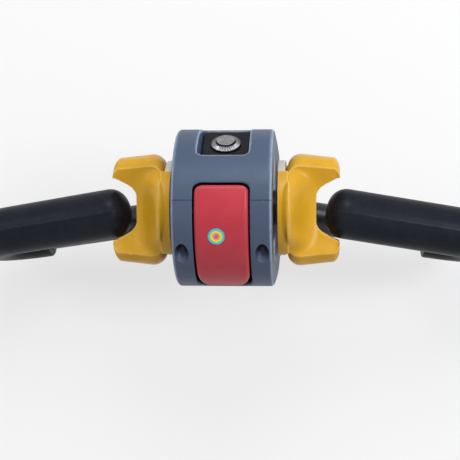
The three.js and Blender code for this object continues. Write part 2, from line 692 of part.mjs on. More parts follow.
function makeBellyButton() {
  const shape = {
    top: BELLY_TOP,
    end: BELLY_END,
    halfWidth: BELLY_HALF_WIDTH,
    topCorner: BELLY_TOP_CORNER,
    endCorner: BELLY_END_CORNER,
    endRun: BELLY_END_CORNER_RUN,
    inner: BELLY_SKIRT_RADIUS,
    outer: BELLY_OUTER,
    edge: BELLY_EDGE,
  };
  const skin = BELLY_OUTER - BELLY_WALL;
  const hollow = wrapped({
    ...shape,
    top: BELLY_TOP - BELLY_WALL / DRUM_RADIUS,
    end: BELLY_END + BELLY_WALL / DRUM_RADIUS,
    halfWidth: BELLY_HALF_WIDTH - BELLY_WALL,
    topCorner: BELLY_TOP_CORNER * 0.2,
    endCorner: BELLY_END_CORNER - BELLY_WALL / 2,
    endRun: BELLY_END_CORNER_RUN - BELLY_WALL / 2,
    inner: BELLY_SKIRT_RADIUS - 3,
    outer: skin,
    edge: 0,
  });
  const seat = rodZ(BELLY_SEAT_LEVEL, DRUM_RADIUS, 0, BELLY_SPRING_OFFSET, BELLY_SEAT_RADIUS, 16);
  const finger = block(
    SWITCH_FINGER_OFFSET,
    SWITCH_FINGER_OFFSET + SWITCH_FINGER_WIDTH,
    BELLY_SPRING_OFFSET - BELLY_SEAT_RADIUS,
    BELLY_SPRING_OFFSET + PLUNGER_DEPTH,
    BELLY_SEAT_LEVEL - SWITCH_FINGER_REACH,
    DRUM_RADIUS,
  );
  const button = wrapped(shape);
  const inside = seat.add(finger).intersect(button);
  const room = BELLY_HALF_WIDTH - BELLY_WALL;
  const tipSpace = CHEEK_TIP * 1.1 + RUN_GAP;
  const made = cut(joined([button.subtract(hollow), inside, fingerStem(seat, finger)]), [
    rodX(-40, 40, BELLY_PIVOT_Y, BELLY_PIVOT_Z, BELLY_PIN_RADIUS + FIT_GAP, 10),
    rodX(-room, room, BELLY_PIVOT_Y, BELLY_PIVOT_Z, tipSpace, 16),
    block(-room, room, BELLY_PIVOT_Y, 2 * tipSpace, BELLY_SKIRT_RADIUS - 4, BELLY_PIVOT_Z),
  ]);
  addPiece("belly_button", largest(made), COLOURS.red);
  const reach = BELLY_HALF_WIDTH - 0.5;
  const pin = rodX(-reach, reach, BELLY_PIVOT_Y, BELLY_PIVOT_Z, BELLY_PIN_RADIUS, 10);
  addPiece("belly_button_pin", pin, COLOURS.steel);
}

// The parts of the spring seat and switch finger that stand below the button's skirt.
function fingerStem(seat, finger) {
  return seat.add(finger).intersect(rodX(-40, 40, 0, 0, BELLY_OUTER - BELLY_WALL / 2, 40));
}

function helix(turns, radius, from, to, at) {
  const points = [];
  const steps = Math.round(turns * 8);
  for (let i = 0; i <= steps; i++) {
    points.push(at((2 * Math.PI * i) / 8, radius, from + ((to - from) * i) / steps));
  }
  return points;
}

function makeBellySpring() {
  const from = SHELF_LEVEL + BELLY_SPRING_WIRE + FIT_GAP;
  const to = BELLY_SEAT_LEVEL - BELLY_SPRING_WIRE - FIT_GAP;
  const points = helix(
    BELLY_SPRING_TURNS,
    BELLY_SPRING_RADIUS,
    from,
    to,
    (a, r, level) =>
      new THREE.Vector3(r * Math.cos(a), BELLY_SPRING_OFFSET + r * Math.sin(a), level),
  );
  const spring = sweep(points, points.map(() => BELLY_SPRING_WIRE), 5, AXIS_X);
  addPiece("belly_button_spring", spring, COLOURS.steel);
}

function makeBellySwitch() {
  const from = BELLY_SPRING_OFFSET - SWITCH_DEPTH / 2;
  const top = SHELF_LEVEL + SWITCH_HEIGHT;
  const body = block(
    BELLY_SPRING_RADIUS + BELLY_SPRING_WIRE + RUN_GAP,
    CHEEK_OUTER - CHEEK_THICKNESS - FIT_GAP,
    from,
    from + SWITCH_DEPTH,
    SHELF_LEVEL,
    top,
  );
  const plunger = block(
    SWITCH_FINGER_OFFSET,
    SWITCH_FINGER_OFFSET + SWITCH_FINGER_WIDTH,
    BELLY_SPRING_OFFSET - PLUNGER_DEPTH / 2,
    BELLY_SPRING_OFFSET + PLUNGER_DEPTH / 2,
    top - 1,
    top + PLUNGER_HEIGHT,
  );
  addPiece("belly_switch", body.add(plunger), COLOURS.black);
}

// ---- throttle ----

const HUB_FACE = DISC_FACE + DISC_THICKNESS + FIT_GAP;
const SHAFT_END = GRIP_CUP - END_SCREW_HEAD - 6;

// One cross-section of a wing: a dog-bone of ridges and shallow thumb faces.
function wingRing(x, halfHeight, swell) {
  const share = halfHeight / WING_HALF_HEIGHT;
  const front = [];
  const steps = 4;
  const ridge = WING_RIDGE * share;
  for (let k = 0; k <= steps; k++) {
    const a = (Math.PI / 2) * (k / steps);
    const y = ridge + (halfHeight - ridge) * Math.cos(a) ** 0.8;
    front.push([y, WING_RIDGE_LEVEL * share * Math.sin(a)]);
  }
  front.push([ridge - 3.5, WING_RIDGE_LEVEL * share - 1.4]);
  front.push([ridge - 8, WING_VALLEY_LEVEL * share]);
  front.push([ridge * 0.45, WING_VALLEY_LEVEL * share + swell * 0.6]);
  front.push([0, WING_VALLEY_LEVEL * share + swell]);
  const frontLeft = front.slice(0, -1).map(([y, z]) => [-y, z]);
  const half = [...front, ...frontLeft.reverse()];
  const back = half.slice(1, -1).map(([y, z]) => [y, -z * 0.8]);
  return [...half, ...back.reverse()].map(([y, z]) => new THREE.Vector3(x, y, z));
}

function wings() {
  const rings = [];
  const inner = HUB_FACE + HUB_WEB / 2;
  for (let k = 0; k <= 3; k++) {
    const a = (Math.PI / 2) * (k / 3);
    const height = WING_HALF_HEIGHT - WING_CORNER * (1 - Math.sin(a));
    rings.push(wingRing(inner + WING_CORNER * (1 - Math.cos(a)), height, 6 - k));
  }
  const straight = WING_TIP - WING_TIP_ROUND - inner - WING_CORNER;
  for (let k = 1; k <= 2; k++) {
    const x = inner + WING_CORNER + (straight * k) / 2;
    rings.push(wingRing(x, WING_HALF_HEIGHT - (WING_TAPER * k) / 2, 2));
  }
  for (let k = 1; k <= 3; k++) {
    const a = (Math.PI / 2) * (k / 3);
    const height = WING_HALF_HEIGHT - WING_TAPER - 2 * WING_TIP_ROUND * (1 - Math.cos(a));
    rings.push(wingRing(WING_TIP - WING_TIP_ROUND * (1 - Math.sin(a)), height, 2));
  }
  return loft(rings);
}

// The hollow that the grip's domed end sits in, turned about the shaft's axis.
function gripCup() {
  const deep = WING_TIP - GRIP_CUP;
  const profile = [
    [0, GRIP_CUP],
    [GRIP_CUP_RADIUS * 0.46, GRIP_CUP],
    [GRIP_CUP_RADIUS * 0.62, GRIP_CUP + deep * 0.1],
    [GRIP_CUP_RADIUS * 0.76, GRIP_CUP + deep * 0.3],
    [GRIP_CUP_RADIUS * 0.88, GRIP_CUP + deep * 0.58],
    [GRIP_CUP_RADIUS, GRIP_CUP + deep],
    [GRIP_CUP_RADIUS * 1.3, GRIP_CUP + deep * 1.9],
    [0, GRIP_CUP + deep * 1.9],
  ];
  const alongX = new THREE.Matrix4().makeBasis(AXIS_Y, AXIS_Z, AXIS_X);
  return turned(profile, alongX, 20);
}

// The smooth rise from the wings' thumb faces up to the hub's rim, front and back.
function crest() {
  const rings = [];
  const steps = 6;
  for (let k = 0; k <= steps; k++) {
    const share = k / steps;
    const fall = THREE.MathUtils.smootherstep(share, -0.25, 1.05);
    const height = CREST_HEIGHT + (WING_VALLEY_LEVEL - CREST_HEIGHT) * fall;
    const x = HUB_FACE - 1 + (CREST_RUN + 1) * share;
    const ring = [];
    for (let i = 0; i < 20; i++) {
      const a = (2 * Math.PI * i) / 20;
      const y = CREST_HALF_WIDTH * (1 + 0.15 * share) * Math.cos(a);
      ring.push(new THREE.Vector3(x, y, height * Math.sin(a)));
    }
    rings.push(ring);
  }
  return loft(rings);
}

function saddle() {
  const inner = DISC_RADIUS + FIT_GAP;
  const outer = inner + SADDLE_THICKNESS;
  const shape = new THREE.Shape();
  const middle = Math.PI / 2;
  shape.absarc(0, 0, outer, middle - SADDLE_WRAP, middle + SADDLE_WRAP, false);
  shape.absarc(0, 0, inner, middle + SADDLE_WRAP, middle - SADDLE_WRAP, true);
  const geometry = new THREE.ExtrudeGeometry(shape, {
    depth: DISC_THICKNESS + HUB_WEB,
    bevelEnabled: false,
    curveSegments: 10,
  });
  return solid(geometry.translate(0, 0, DISC_FACE + FIT_GAP).applyMatrix4(ACROSS));
}

function makeButterflies() {
  const boss = rodX(DISC_FACE, HUB_FACE + 2, 0, 0, HUB_BOSS_RADIUS, 20);
  const rim = DISC_RADIUS + FIT_GAP + SADDLE_THICKNESS;
  const web = rodX(HUB_FACE, HUB_FACE + HUB_WEB, 0, 0, rim, 28);
  const discSpace = rodX(0, HUB_FACE, 0, 0, DISC_RADIUS + FIT_GAP, 28);
  const upright = joined([wings().translate([0, -WING_DROP, 0]), crest(), saddle()]);
  const leaning = upright.rotate([WING_TILT / degrees, 0, 0]);
  const outside = leaning.add(web).subtract(discSpace);
  const beyond = GRIP_CUP + 10;
  const headSeat = GRIP_CUP - END_SCREW_HEAD - 1.5;
  const made = cut(outside.add(boss), [
    gripCup(),
    rodX(0, SHAFT_END + FIT_GAP, 0, 0, SHAFT_RADIUS + FIT_GAP, 16),
    rodX(0, beyond, 0, 0, END_SCREW_SHANK_RADIUS + FIT_GAP, 10),
    rodX(headSeat, beyond, 0, 0, END_SCREW_HEAD_RADIUS + FIT_GAP, 16),
  ]);
  addPair("butterfly", made, COLOURS.yellow);
  const disc = rodX(DISC_FACE, DISC_FACE + DISC_THICKNESS, 0, 0, DISC_RADIUS, 28);
  const discBore = rodX(0, HUB_FACE, 0, 0, HUB_BOSS_RADIUS + FIT_GAP, 20);
  addPair("throttle_disc", disc.subtract(discBore), COLOURS.white);
  const screwHead = rodX(headSeat, headSeat + END_SCREW_HEAD, 0, 0, END_SCREW_HEAD_RADIUS, 12);
  const bite = SHAFT_END - END_SCREW_BITE;
  const shank = rodX(bite, headSeat + 1, 0, 0, END_SCREW_SHANK_RADIUS, 8);
  addPair("butterfly_screw", screwHead.add(shank), COLOURS.steel);
}

function makeShaft() {
  const bar = rodX(-SHAFT_END, SHAFT_END, 0, 0, SHAFT_RADIUS, 16);
  const deep = SHAFT_END - END_SCREW_BITE - FIT_GAP;
  const threads = [-1, 1].map((side) =>
    rodX(side * deep, side * (SHAFT_END + 1), 0, 0, END_SCREW_SHANK_RADIUS + FIT_GAP, 8),
  );
  addPiece("throttle_shaft", cut(bar, threads), COLOURS.steel);
  const flange = rodX(RECESS_FACE, RECESS_FACE + BUSH_FLANGE, 0, 0, BUSH_FLANGE_RADIUS, 24);
  const inner = RECESS_FACE - BUSH_BARREL_LENGTH;
  const middle = RECESS_FACE + BUSH_FLANGE / 2;
  const barrel = rodX(inner, middle, 0, 0, BUSH_BARREL_RADIUS, 18);
  const bore = rodX(0, DRUM_HALF_WIDTH * 2, 0, 0, SHAFT_RADIUS + FIT_GAP, 16);
  addPair("shaft_bush", flange.add(barrel).subtract(bore), COLOURS.brown);
}

function makeCam() {
  const collar = rodX(-CAM_HALF_WIDTH, CAM_HALF_WIDTH, 0, 0, CAM_RADIUS, 16);
  const half = CAM_LUG_HALF_DEPTH;
  const lug = block(-CAM_LUG_WIDTH, 0, -half, half, -CAM_LUG_REACH, -SHAFT_RADIUS);
  const beyond = 2 * CAM_HALF_WIDTH;
  const bore = rodX(-beyond, beyond, 0, 0, SHAFT_RADIUS + FIT_GAP, 16);
  addPiece("throttle_cam", collar.add(lug).subtract(bore), COLOURS.black);
}

function makeReturnSpring() {
  const from = CHEEK_OUTER + 2;
  const to = from + WEB_WING - 4;
  const foot = WEB_LEVEL + FIT_GAP;
  const coil = helix(
    RETURN_SPRING_TURNS + 0.5,
    RETURN_SPRING_RADIUS,
    from,
    to,
    (a, r, level) => new THREE.Vector3(level, r * Math.cos(a), r * Math.sin(a)),
  );
  const firstLeg = coil[0].clone().setZ(foot);
  const lastLeg = coil[coil.length - 1].clone().setZ(foot);
  const points = [firstLeg, ...coil, lastLeg];
  const spring = sweep(points, points.map(() => RETURN_SPRING_WIRE), 5, AXIS_X);
  addPiece("throttle_return_spring", spring, COLOURS.steel);
}

// ---- chassis inside the covers ----

function makeChassis() {
  const inner = CHEEK_OUTER - CHEEK_THICKNESS;
  const outer = CHEEK_OUTER;
  const tip = CHEEK_TIP;
  const deep = CHASSIS_HALF_DEPTH;
  const shelfY = BELLY_SPRING_OFFSET - SWITCH_DEPTH / 2 - 1;
  const cheek = outline([
    [-deep, BLOCK_TOP],
    [deep, BLOCK_TOP],
    [deep, -BUSH_BARREL_RADIUS],
    [BELLY_PIVOT_Y + tip, BELLY_PIVOT_Z - 2],
    [BELLY_PIVOT_Y + tip * 0.7, BELLY_PIVOT_Z + tip * 0.8],
    [BELLY_PIVOT_Y - tip * 0.7, BELLY_PIVOT_Z + tip * 0.8],
    [BELLY_PIVOT_Y - tip, BELLY_PIVOT_Z - 2],
    [-deep, (SHELF_LEVEL + BELLY_PIVOT_Z) / 2],
    [shelfY, SHELF_LEVEL],
    [shelfY, SHELF_LEVEL - 2 * WEB_THICKNESS],
    [-deep, -BUSH_BARREL_RADIUS],
  ]);
  const wide = CHEEK_OUTER + WEB_WING;
  const webFoot = WEB_LEVEL - WEB_THICKNESS;
  const pieces = [
    prism(cheek, inner, outer, ACROSS),
    prism(cheek, -outer, -inner, ACROSS),
    block(-wide, wide, -deep, deep, BLOCK_TOP, BLOCK_TOP + CHASSIS_FLOOR),
    block(-wide, wide, -deep, deep, webFoot, WEB_LEVEL),
    block(-outer, outer, shelfY, 2 - deep, SHELF_LEVEL - WEB_THICKNESS, SHELF_LEVEL),
  ];
  const made = cut(joined(pieces), [
    rodX(-outer - 1, outer + 1, 0, 0, SHAFT_RADIUS + RUN_GAP, 16),
    rodX(-outer - 1, outer + 1, BELLY_PIVOT_Y, BELLY_PIVOT_Z, BELLY_PIN_RADIUS + FIT_GAP, 10),
    rodZ(BLOCK_TOP - 1, BLOCK_TOP + CHASSIS_FLOOR + 1, 0, 0, CABLE_BORE_RADIUS - 1, 16),
    rodZ(webFoot - 1, WEB_LEVEL + 1, -wide + WEB_WING / 2, 0, WEB_WING * 0.3, 10),
  ]);
  addPiece("chassis", made, COLOURS.black);
  const edge = inner - FIT_GAP;
  const reach = deep - 3;
  const plate = block(-edge, edge, -reach, reach, WEB_LEVEL, WEB_LEVEL + BOARD_THICKNESS);
  const chipTop = WEB_LEVEL + 2 * BOARD_THICKNESS;
  const chip = block(-CAM_LUG_WIDTH, 0, -reach / 4, reach / 4, WEB_LEVEL + 1, chipTop);
  addPiece("sensor_board", plate.add(chip), COLOURS.board);
}

// ---- loop handles ----

// A run of points along straight lines whose corners are rounded.
function roundedRoute(corners, radii, steps) {
  const points = [corners[0]];
  for (let i = 1; i + 1 < corners.length; i++) {
    const into = corners[i].clone().sub(corners[i - 1]).normalize();
    const out = corners[i + 1].clone().sub(corners[i]).normalize();
    const turn = into.angleTo(out);
    const radius = radii[i];
    const set = radius * Math.tan(turn / 2);
    const start = corners[i].clone().addScaledVector(into, -set);
    const inwards = out.clone().sub(into).normalize();
    const centre = corners[i].clone().addScaledVector(inwards, radius / Math.cos(turn / 2));
    const arm = start.clone().sub(centre);
    const spin = new THREE.Vector3().crossVectors(into, out).normalize();
    const count = Math.max(2, Math.round((steps * turn) / (Math.PI / 2)));
    for (let k = 0; k <= count; k++) {
      const swung = arm.clone().applyAxisAngle(spin, (turn * k) / count);
      points.push(centre.clone().add(swung));
    }
  }
  points.push(corners[corners.length - 1]);
  return points;
}

const LOOP_STEPS = 5; // facets of a right-angle bend

function loopPoint(x, z) {
  const lean = (x - BAR_ELBOW) * Math.tan(LOOP_SWEEP);
  return new THREE.Vector3(x, -Math.max(lean, 0), z);
}

const LOWER_ELBOW = loopPoint(BAR_ELBOW, BAR_LEVEL);
const LOWER_CORNER = loopPoint(LOOP_REACH, LOOP_LOWER_LEVEL);
const UPPER_CORNER = loopPoint(LOOP_REACH, LOOP_UPPER_LEVEL);
const GRIP_TIP_POINT = loopPoint(GRIP_TIP, GRIP_TIP_LEVEL);

function makeLoops() {
  const back = UPPER_CORNER.clone().sub(GRIP_TIP_POINT).normalize();
  const barEnd = GRIP_TIP_POINT.clone().addScaledVector(back, GRIP_SOLID_END);
  const root = new THREE.Vector3(BAR_INNER_END, 0, BAR_LEVEL);
  const corners = [root, LOWER_ELBOW, LOWER_CORNER, UPPER_CORNER, barEnd];
  const radii = [0, 60, LOOP_CORNER, LOOP_CORNER, 0];
  const route = roundedRoute(corners, radii, LOOP_STEPS);
  const pinSpan = BLOCK_HALF_DEPTH - FIT_GAP;
  const pinHole = rodY(-pinSpan, pinSpan, BAR_PIN_OFFSET, BAR_LEVEL, BAR_PIN_RADIUS + FIT_GAP, 10);
  const bar = sweep(route, route.map(() => BAR_RADIUS), 14, AXIS_Y).subtract(pinHole);
  addPair("loop_bar", bar, COLOURS.black);
  const pin = rodY(-pinSpan, pinSpan, BAR_PIN_OFFSET, BAR_LEVEL, BAR_PIN_RADIUS, 10);
  addPair("loop_bar_pin", pin, COLOURS.steel);

  const share = (GRIP_SLEEVE_END - BAR_ELBOW) / (LOOP_REACH - BAR_ELBOW);
  const sleeveEnd = LOWER_ELBOW.clone().lerp(LOWER_CORNER, share);
  const domeSteps = 4;
  const shoulder = GRIP_TIP_POINT.clone().addScaledVector(back, GRIP_DOME);
  const sleeveCorners = [sleeveEnd, LOWER_CORNER, UPPER_CORNER, shoulder];
  const path = roundedRoute(sleeveCorners, [0, LOOP_CORNER, LOOP_CORNER, 0], LOOP_STEPS);
  const radiiAlong = path.map(() => GRIP_RADIUS);
  radiiAlong[0] = GRIP_RADIUS - 1.2;
  path.splice(1, 0, sleeveEnd.clone().lerp(path[1], 0.06));
  radiiAlong.splice(1, 0, GRIP_RADIUS);
  for (let k = 1; k <= domeSteps; k++) {
    const a = (Math.PI / 2) * (k / domeSteps);
    path.push(shoulder.clone().addScaledVector(back, -GRIP_DOME * Math.sin(a)));
    radiiAlong.push(Math.max(GRIP_RADIUS * Math.cos(a) ** 0.75, 1.5));
  }
  const sleeve = sweep(path, radiiAlong, 16, AXIS_Y);
  const boreEnd = barEnd.clone().addScaledVector(back, -2 * FIT_GAP);
  const boreCorners = [...corners.slice(0, -1), boreEnd];
  const boreRoute = roundedRoute(boreCorners, radii, LOOP_STEPS);
  const bore = sweep(boreRoute, boreRoute.map(() => BAR_RADIUS + FIT_GAP), 14, AXIS_Y);
  addPair("grip", sleeve.subtract(bore), COLOURS.black);
}

// ---- neck on the arm ----

function neckBlock(extra) {
  const shape = roundedOutline(
    -BLOCK_HALF_WIDTH - extra,
    BLOCK_HALF_WIDTH + extra,
    -BLOCK_HALF_DEPTH - extra,
    BLOCK_HALF_DEPTH + extra,
    8,
  );
  return prism(shape, BLOCK_FOOT, BLOCK_TOP + extra, UPRIGHT);
}

function makeNeck() {
  const face = -SHAFT_HEIGHT;
  const flangeTop = face + FLANGE_THICKNESS;
  const column = turned(
    [
      [0, face],
      [FLANGE_RADIUS, face],
      [FLANGE_RADIUS, flangeTop - 1.5],
      [FLANGE_RADIUS - 1.5, flangeTop],
      [COLUMN_RADIUS + 2, flangeTop],
      [COLUMN_RADIUS, flangeTop + 2],
      [COLUMN_RADIUS, BLOCK_FOOT + 2],
      [0, BLOCK_FOOT + 2],
    ],
    UPRIGHT,
    24,
  );
  const bolts = [];
  for (let i = 0; i < FLANGE_BOLTS; i++) {
    const a = Math.PI / 4 + (2 * Math.PI * i) / FLANGE_BOLTS;
    const x = FLANGE_BOLT_CIRCLE * Math.cos(a);
    const y = FLANGE_BOLT_CIRCLE * Math.sin(a);
    bolts.push(rodZ(face - 1, flangeTop + 1, x, y, FLANGE_BOLT_RADIUS, 12));
  }
  const far = BLOCK_HALF_WIDTH + 5;
  const end = BAR_INNER_END - FIT_GAP;
  const deep = BLOCK_HALF_DEPTH + 5;
  const pins = [-1, 1].map((side) =>
    rodY(-deep, deep, side * BAR_PIN_OFFSET, BAR_LEVEL, BAR_PIN_RADIUS + FIT_GAP, 10),
  );
  const made = cut(column.add(neckBlock(0)), [
    ...bolts,
    ...pins,
    rodZ(face - 1, BLOCK_TOP + 1, 0, 0, CABLE_BORE_RADIUS, 16),
    rodX(end, far, 0, BAR_LEVEL, BAR_RADIUS + FIT_GAP, 16),
    rodX(-far, -end, 0, BAR_LEVEL, BAR_RADIUS + FIT_GAP, 16),
  ]);
  addPiece("neck", made, COLOURS.alloy);
}

makeCovers();
makePanel();
makePushButton();
makeBellyButton();
makeBellySpring();
makeBellySwitch();
makeButterflies();
makeShaft();
makeCam();
makeReturnSpring();
makeChassis();
makeLoops();
makeNeck();

export default head;
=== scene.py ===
from math import atan, cos, exp, pi, radians, sin, sqrt, tan

import bmesh
import bpy
from mathutils import Matrix, Vector
from mathutils.geometry import interpolate_bezier


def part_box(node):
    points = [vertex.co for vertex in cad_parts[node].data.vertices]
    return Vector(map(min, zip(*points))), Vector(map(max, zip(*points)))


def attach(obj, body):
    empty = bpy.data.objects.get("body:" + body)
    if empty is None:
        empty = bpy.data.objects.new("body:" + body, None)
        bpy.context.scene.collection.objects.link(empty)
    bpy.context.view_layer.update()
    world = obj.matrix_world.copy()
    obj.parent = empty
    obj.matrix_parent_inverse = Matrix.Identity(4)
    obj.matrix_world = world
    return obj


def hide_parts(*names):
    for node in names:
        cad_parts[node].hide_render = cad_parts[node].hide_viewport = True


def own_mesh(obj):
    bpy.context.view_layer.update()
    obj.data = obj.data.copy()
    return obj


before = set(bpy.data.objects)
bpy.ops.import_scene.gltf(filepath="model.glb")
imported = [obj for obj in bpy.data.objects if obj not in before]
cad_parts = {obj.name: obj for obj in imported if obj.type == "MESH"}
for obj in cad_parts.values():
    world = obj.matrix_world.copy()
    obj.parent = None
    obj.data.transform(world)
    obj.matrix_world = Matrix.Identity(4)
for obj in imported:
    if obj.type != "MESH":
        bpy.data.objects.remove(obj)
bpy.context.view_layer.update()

# ---- viewpoint ----
# The head is seen along its arm, from in front of the drum. The camera looks almost straight down
# the arm's axis, a little from the right-hand grip's side and from the lower cover's side.
MM = 0.001
shaft_low, shaft_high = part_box("throttle_shaft")
HEAD = (Vector(shaft_low) + Vector(shaft_high)) / 2  # middle of the throttle shaft
PICTURE_WIDTH = 460  # pixels
FOCAL_LENGTH = 1169.9  # pixels
CAMERA_AZIMUTH = radians(4.30)
CAMERA_ELEVATION = radians(85.85)
CAMERA_ROLL = radians(0.40)
CAMERA_DISTANCE = 866
CAMERA_AIM = Vector((2.3, -16.6, 1.0))  # from the throttle shaft's middle


def shown(name, data):
    """A new object in the scene."""
    thing = bpy.data.objects.new(name, data)
    bpy.context.scene.collection.objects.link(thing)
    return thing


level = cos(CAMERA_ELEVATION)
backwards = Vector((
    sin(CAMERA_AZIMUTH),
    -cos(CAMERA_AZIMUTH) * level,
    cos(CAMERA_AZIMUTH) * sin(CAMERA_ELEVATION),
))
sideways = Vector((0, 1, 0)).cross(backwards).normalized()
upwards = backwards.cross(sideways)
axes = Matrix((sideways, upwards, backwards)).transposed()
turn = Matrix.Rotation(CAMERA_ROLL, 3, "Z")
camera_data = bpy.data.cameras.new("camera")
camera_data.sensor_fit = "HORIZONTAL"
camera_data.angle = 2 * atan(PICTURE_WIDTH / 2 / FOCAL_LENGTH)
camera = shown("camera", camera_data)
camera.matrix_world = (axes @ turn).to_4x4()
camera.location = HEAD + (CAMERA_AIM + backwards.normalized() * CAMERA_DISTANCE) * MM
bpy.context.scene.camera = camera

# ---- studio ----
# The head stands on its arm flange on a pale floor in a white room. One broad soft lamp hangs
# over the upper cover, a second one stands to the right, and weak ones stand to the left and on
# the lower cover's side.
FLOOR_HALF = 2.5  # metres
FLOOR_COLOUR = (0.86, 0.86, 0.86, 1)
WHITE = (1, 1, 1, 1)
FLOOR_SHADE = 0.35  # how much of the object's shadow the camera sees
ROOM_LIGHT = 0.36


def new_node(near, kind):
    """A new node in the tree that another node or its socket is in."""
    return near.id_data.nodes.new("ShaderNode" + kind)


def feed(value, socket):
    """Gives a node's socket a fixed value or another node's output."""
    if isinstance(value, bpy.types.NodeSocket):
        socket.id_data.links.new(value, socket)
    else:
        socket.default_value = value


def arithmetic(operation, *values):
    step = new_node(values[0], "Math")
    step.operation = operation
    for value, socket in zip(values, step.inputs):
        feed(value, socket)
    return step.outputs[0]


def spread(value, low, high, start=0.3, end=0.7):
    """Stretches the middle of a value's range from low to high."""
    stretch = new_node(value, "MapRange")
    for number, socket in zip((value, start, end, low, high), stretch.inputs):
        feed(number, socket)
    return stretch.outputs["Result"]


def seen_directly(near):
    """One where a ray comes from the camera, a mirror or glass, and nought elsewhere."""
    path = new_node(near, "LightPath")
    total = path.outputs["Is Camera Ray"]
    for kind in ("Is Glossy Ray", "Is Transmission Ray"):
        total = arithmetic("MAXIMUM", total, path.outputs[kind])
    return total


def pale_floor():
    material = bpy.data.materials.new("pale_floor")
    material.use_nodes = True
    nodes = material.node_tree.nodes
    painted = nodes["Principled BSDF"]
    painted.inputs["Base Color"].default_value = FLOOR_COLOUR
    painted.inputs["Roughness"].default_value = 0.9
    glow = new_node(painted, "Emission")
    glow.inputs["Color"].default_value = WHITE
    share = arithmetic("MULTIPLY", seen_directly(painted), 1 - FLOOR_SHADE)
    both = new_node(painted, "MixShader")
    for value, socket in zip((share, painted.outputs[0], glow.outputs[0]), both.inputs):
        feed(value, socket)
    feed(both.outputs[0], nodes["Material Output"].inputs["Surface"])
    return material


floor_mesh = bpy.data.meshes.new("floor")
corners = [(-1, -1), (1, -1), (1, 1), (-1, 1)]
floor_mesh.from_pydata([(x * FLOOR_HALF, y * FLOOR_HALF, 0) for x, y in corners], [], [(0, 1, 2, 3)])
floor_mesh.materials.append(pale_floor())
floor = shown("floor", floor_mesh)

world = bpy.data.worlds.new("white_room")
bpy.context.scene.world = world
world.use_nodes = True
room = world.node_tree.nodes["Background"]
room.inputs["Color"].default_value = WHITE
feed(spread(seen_directly(room), ROOM_LIGHT, 1, 0, 1), room.inputs["Strength"])


def soft_lamp(name, place, size, watts):
    data = bpy.data.lights.new(name, "AREA")
    data.size = size
    data.energy = watts
    lamp = shown(name, data)
    lamp.location = place
    lamp.rotation_euler = (HEAD - lamp.location).to_track_quat("-Z", "Y").to_euler()


soft_lamp("overhead_lamp", (0.1, 0.75, 0.95), 0.5, 6)
soft_lamp("right_lamp", (0.8, 0.1, 0.9), 0.3, 5)
soft_lamp("left_lamp", (-0.75, 0.25, 0.8), 0.4, 1.6)
soft_lamp("front_lamp", (-0.2, -1.0, 0.55), 0.6, 0.4)
bpy.context.scene.view_settings.view_transform = "Standard"

# ---- neck ----
# The neck carries everything on the tiller arm: a flange with four bolt holes, a hollow column for
# the cable and a block inside the housing. It is cast in light alloy and machined on its faces.
ROUND = 96  # sides of a turned piece
SHARP = radians(38)
NECK_VOXEL = 0.9
NECK_SMOOTHING = 2  # passes
CORNER_STEPS = 8
FILLET_STEPS = 6


def measured(box):
    """A node's low and high corner, in millimetres from the throttle shaft's middle."""
    return [[(value - middle) / MM for value, middle in zip(corner, HEAD)] for corner in box]


neck_low, neck_high = measured(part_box("neck"))
FLANGE_RADIUS = neck_high[0]
FLANGE_FACE = neck_low[2]
FLANGE_THICKNESS = 10
FLANGE_TOP = FLANGE_FACE + FLANGE_THICKNESS
FLANGE_TOP_CHAMFER = 1.5
FLANGE_FACE_CHAMFER = 0.6
BOLT_CIRCLE = 30
BOLT_HOLE_RADIUS = 4.2
COLUMN_RADIUS = 21
COLUMN_FILLET = 4
COLUMN_INTO_BLOCK = 2
CABLE_BORE_RADIUS = 12
BLOCK_TOP = neck_high[2]
BLOCK_HEIGHT = 38
BLOCK_FOOT = BLOCK_TOP - BLOCK_HEIGHT
BLOCK_HALF_WIDTH = 30
BLOCK_HALF_DEPTH = 21
BLOCK_CORNER = 8
BAR_RADIUS = 13
BAR_INNER_END = 19
BAR_LEVEL = (BLOCK_FOOT + BLOCK_TOP) / 2  # where the loop bars enter the housing
BAR_PIN_RADIUS = 2.5
BAR_PIN_OFFSET = 24
FIT_GAP = 0.3
CUT_PAST = 5  # how far a long tool stands out of what it cuts
CUT_OVER = 1  # the same for a short one


def skin(name, rings):
    """A closed skin through rings of points, in millimetres from the throttle shaft's middle."""
    mesh = bpy.data.meshes.new(name)
    around = len(rings[0])
    points = [HEAD + Vector(point) * MM for ring in rings for point in ring]
    last = len(points) - around
    faces = [tuple(reversed(range(around))), tuple(range(last, last + around))]
    for start in range(0, last, around):
        for i in range(around):
            here, there = start + i, start + (i + 1) % around
            faces.append((here, there, there + around, here + around))
    mesh.from_pydata(points, [], faces)
    form = bmesh.new()
    form.from_mesh(mesh)
    bmesh.ops.recalc_face_normals(form, faces=form.faces)
    form.to_mesh(mesh)
    form.free()
    mesh.shade_smooth()
    mesh.set_sharp_from_angle(angle=SHARP)
    return shown(name, mesh)


def settle(piece):
    """Makes a piece's modifiers final."""
    view = bpy.context.evaluated_depsgraph_get()
    made = bpy.data.meshes.new_from_object(piece.evaluated_get(view))
    piece.modifiers.clear()
    piece.data = made
    return piece


def machine(piece, tools, way="DIFFERENCE"):
    """Cuts tools out of a piece, joins them to it or keeps what they share."""
    for tool in tools:
        step = piece.modifiers.new(tool.name, "BOOLEAN")
        step.solver = "MANIFOLD"
        step.operation = way
        step.object = tool
    settle(piece)
    for tool in tools:
        bpy.data.objects.remove(tool)
    return piece


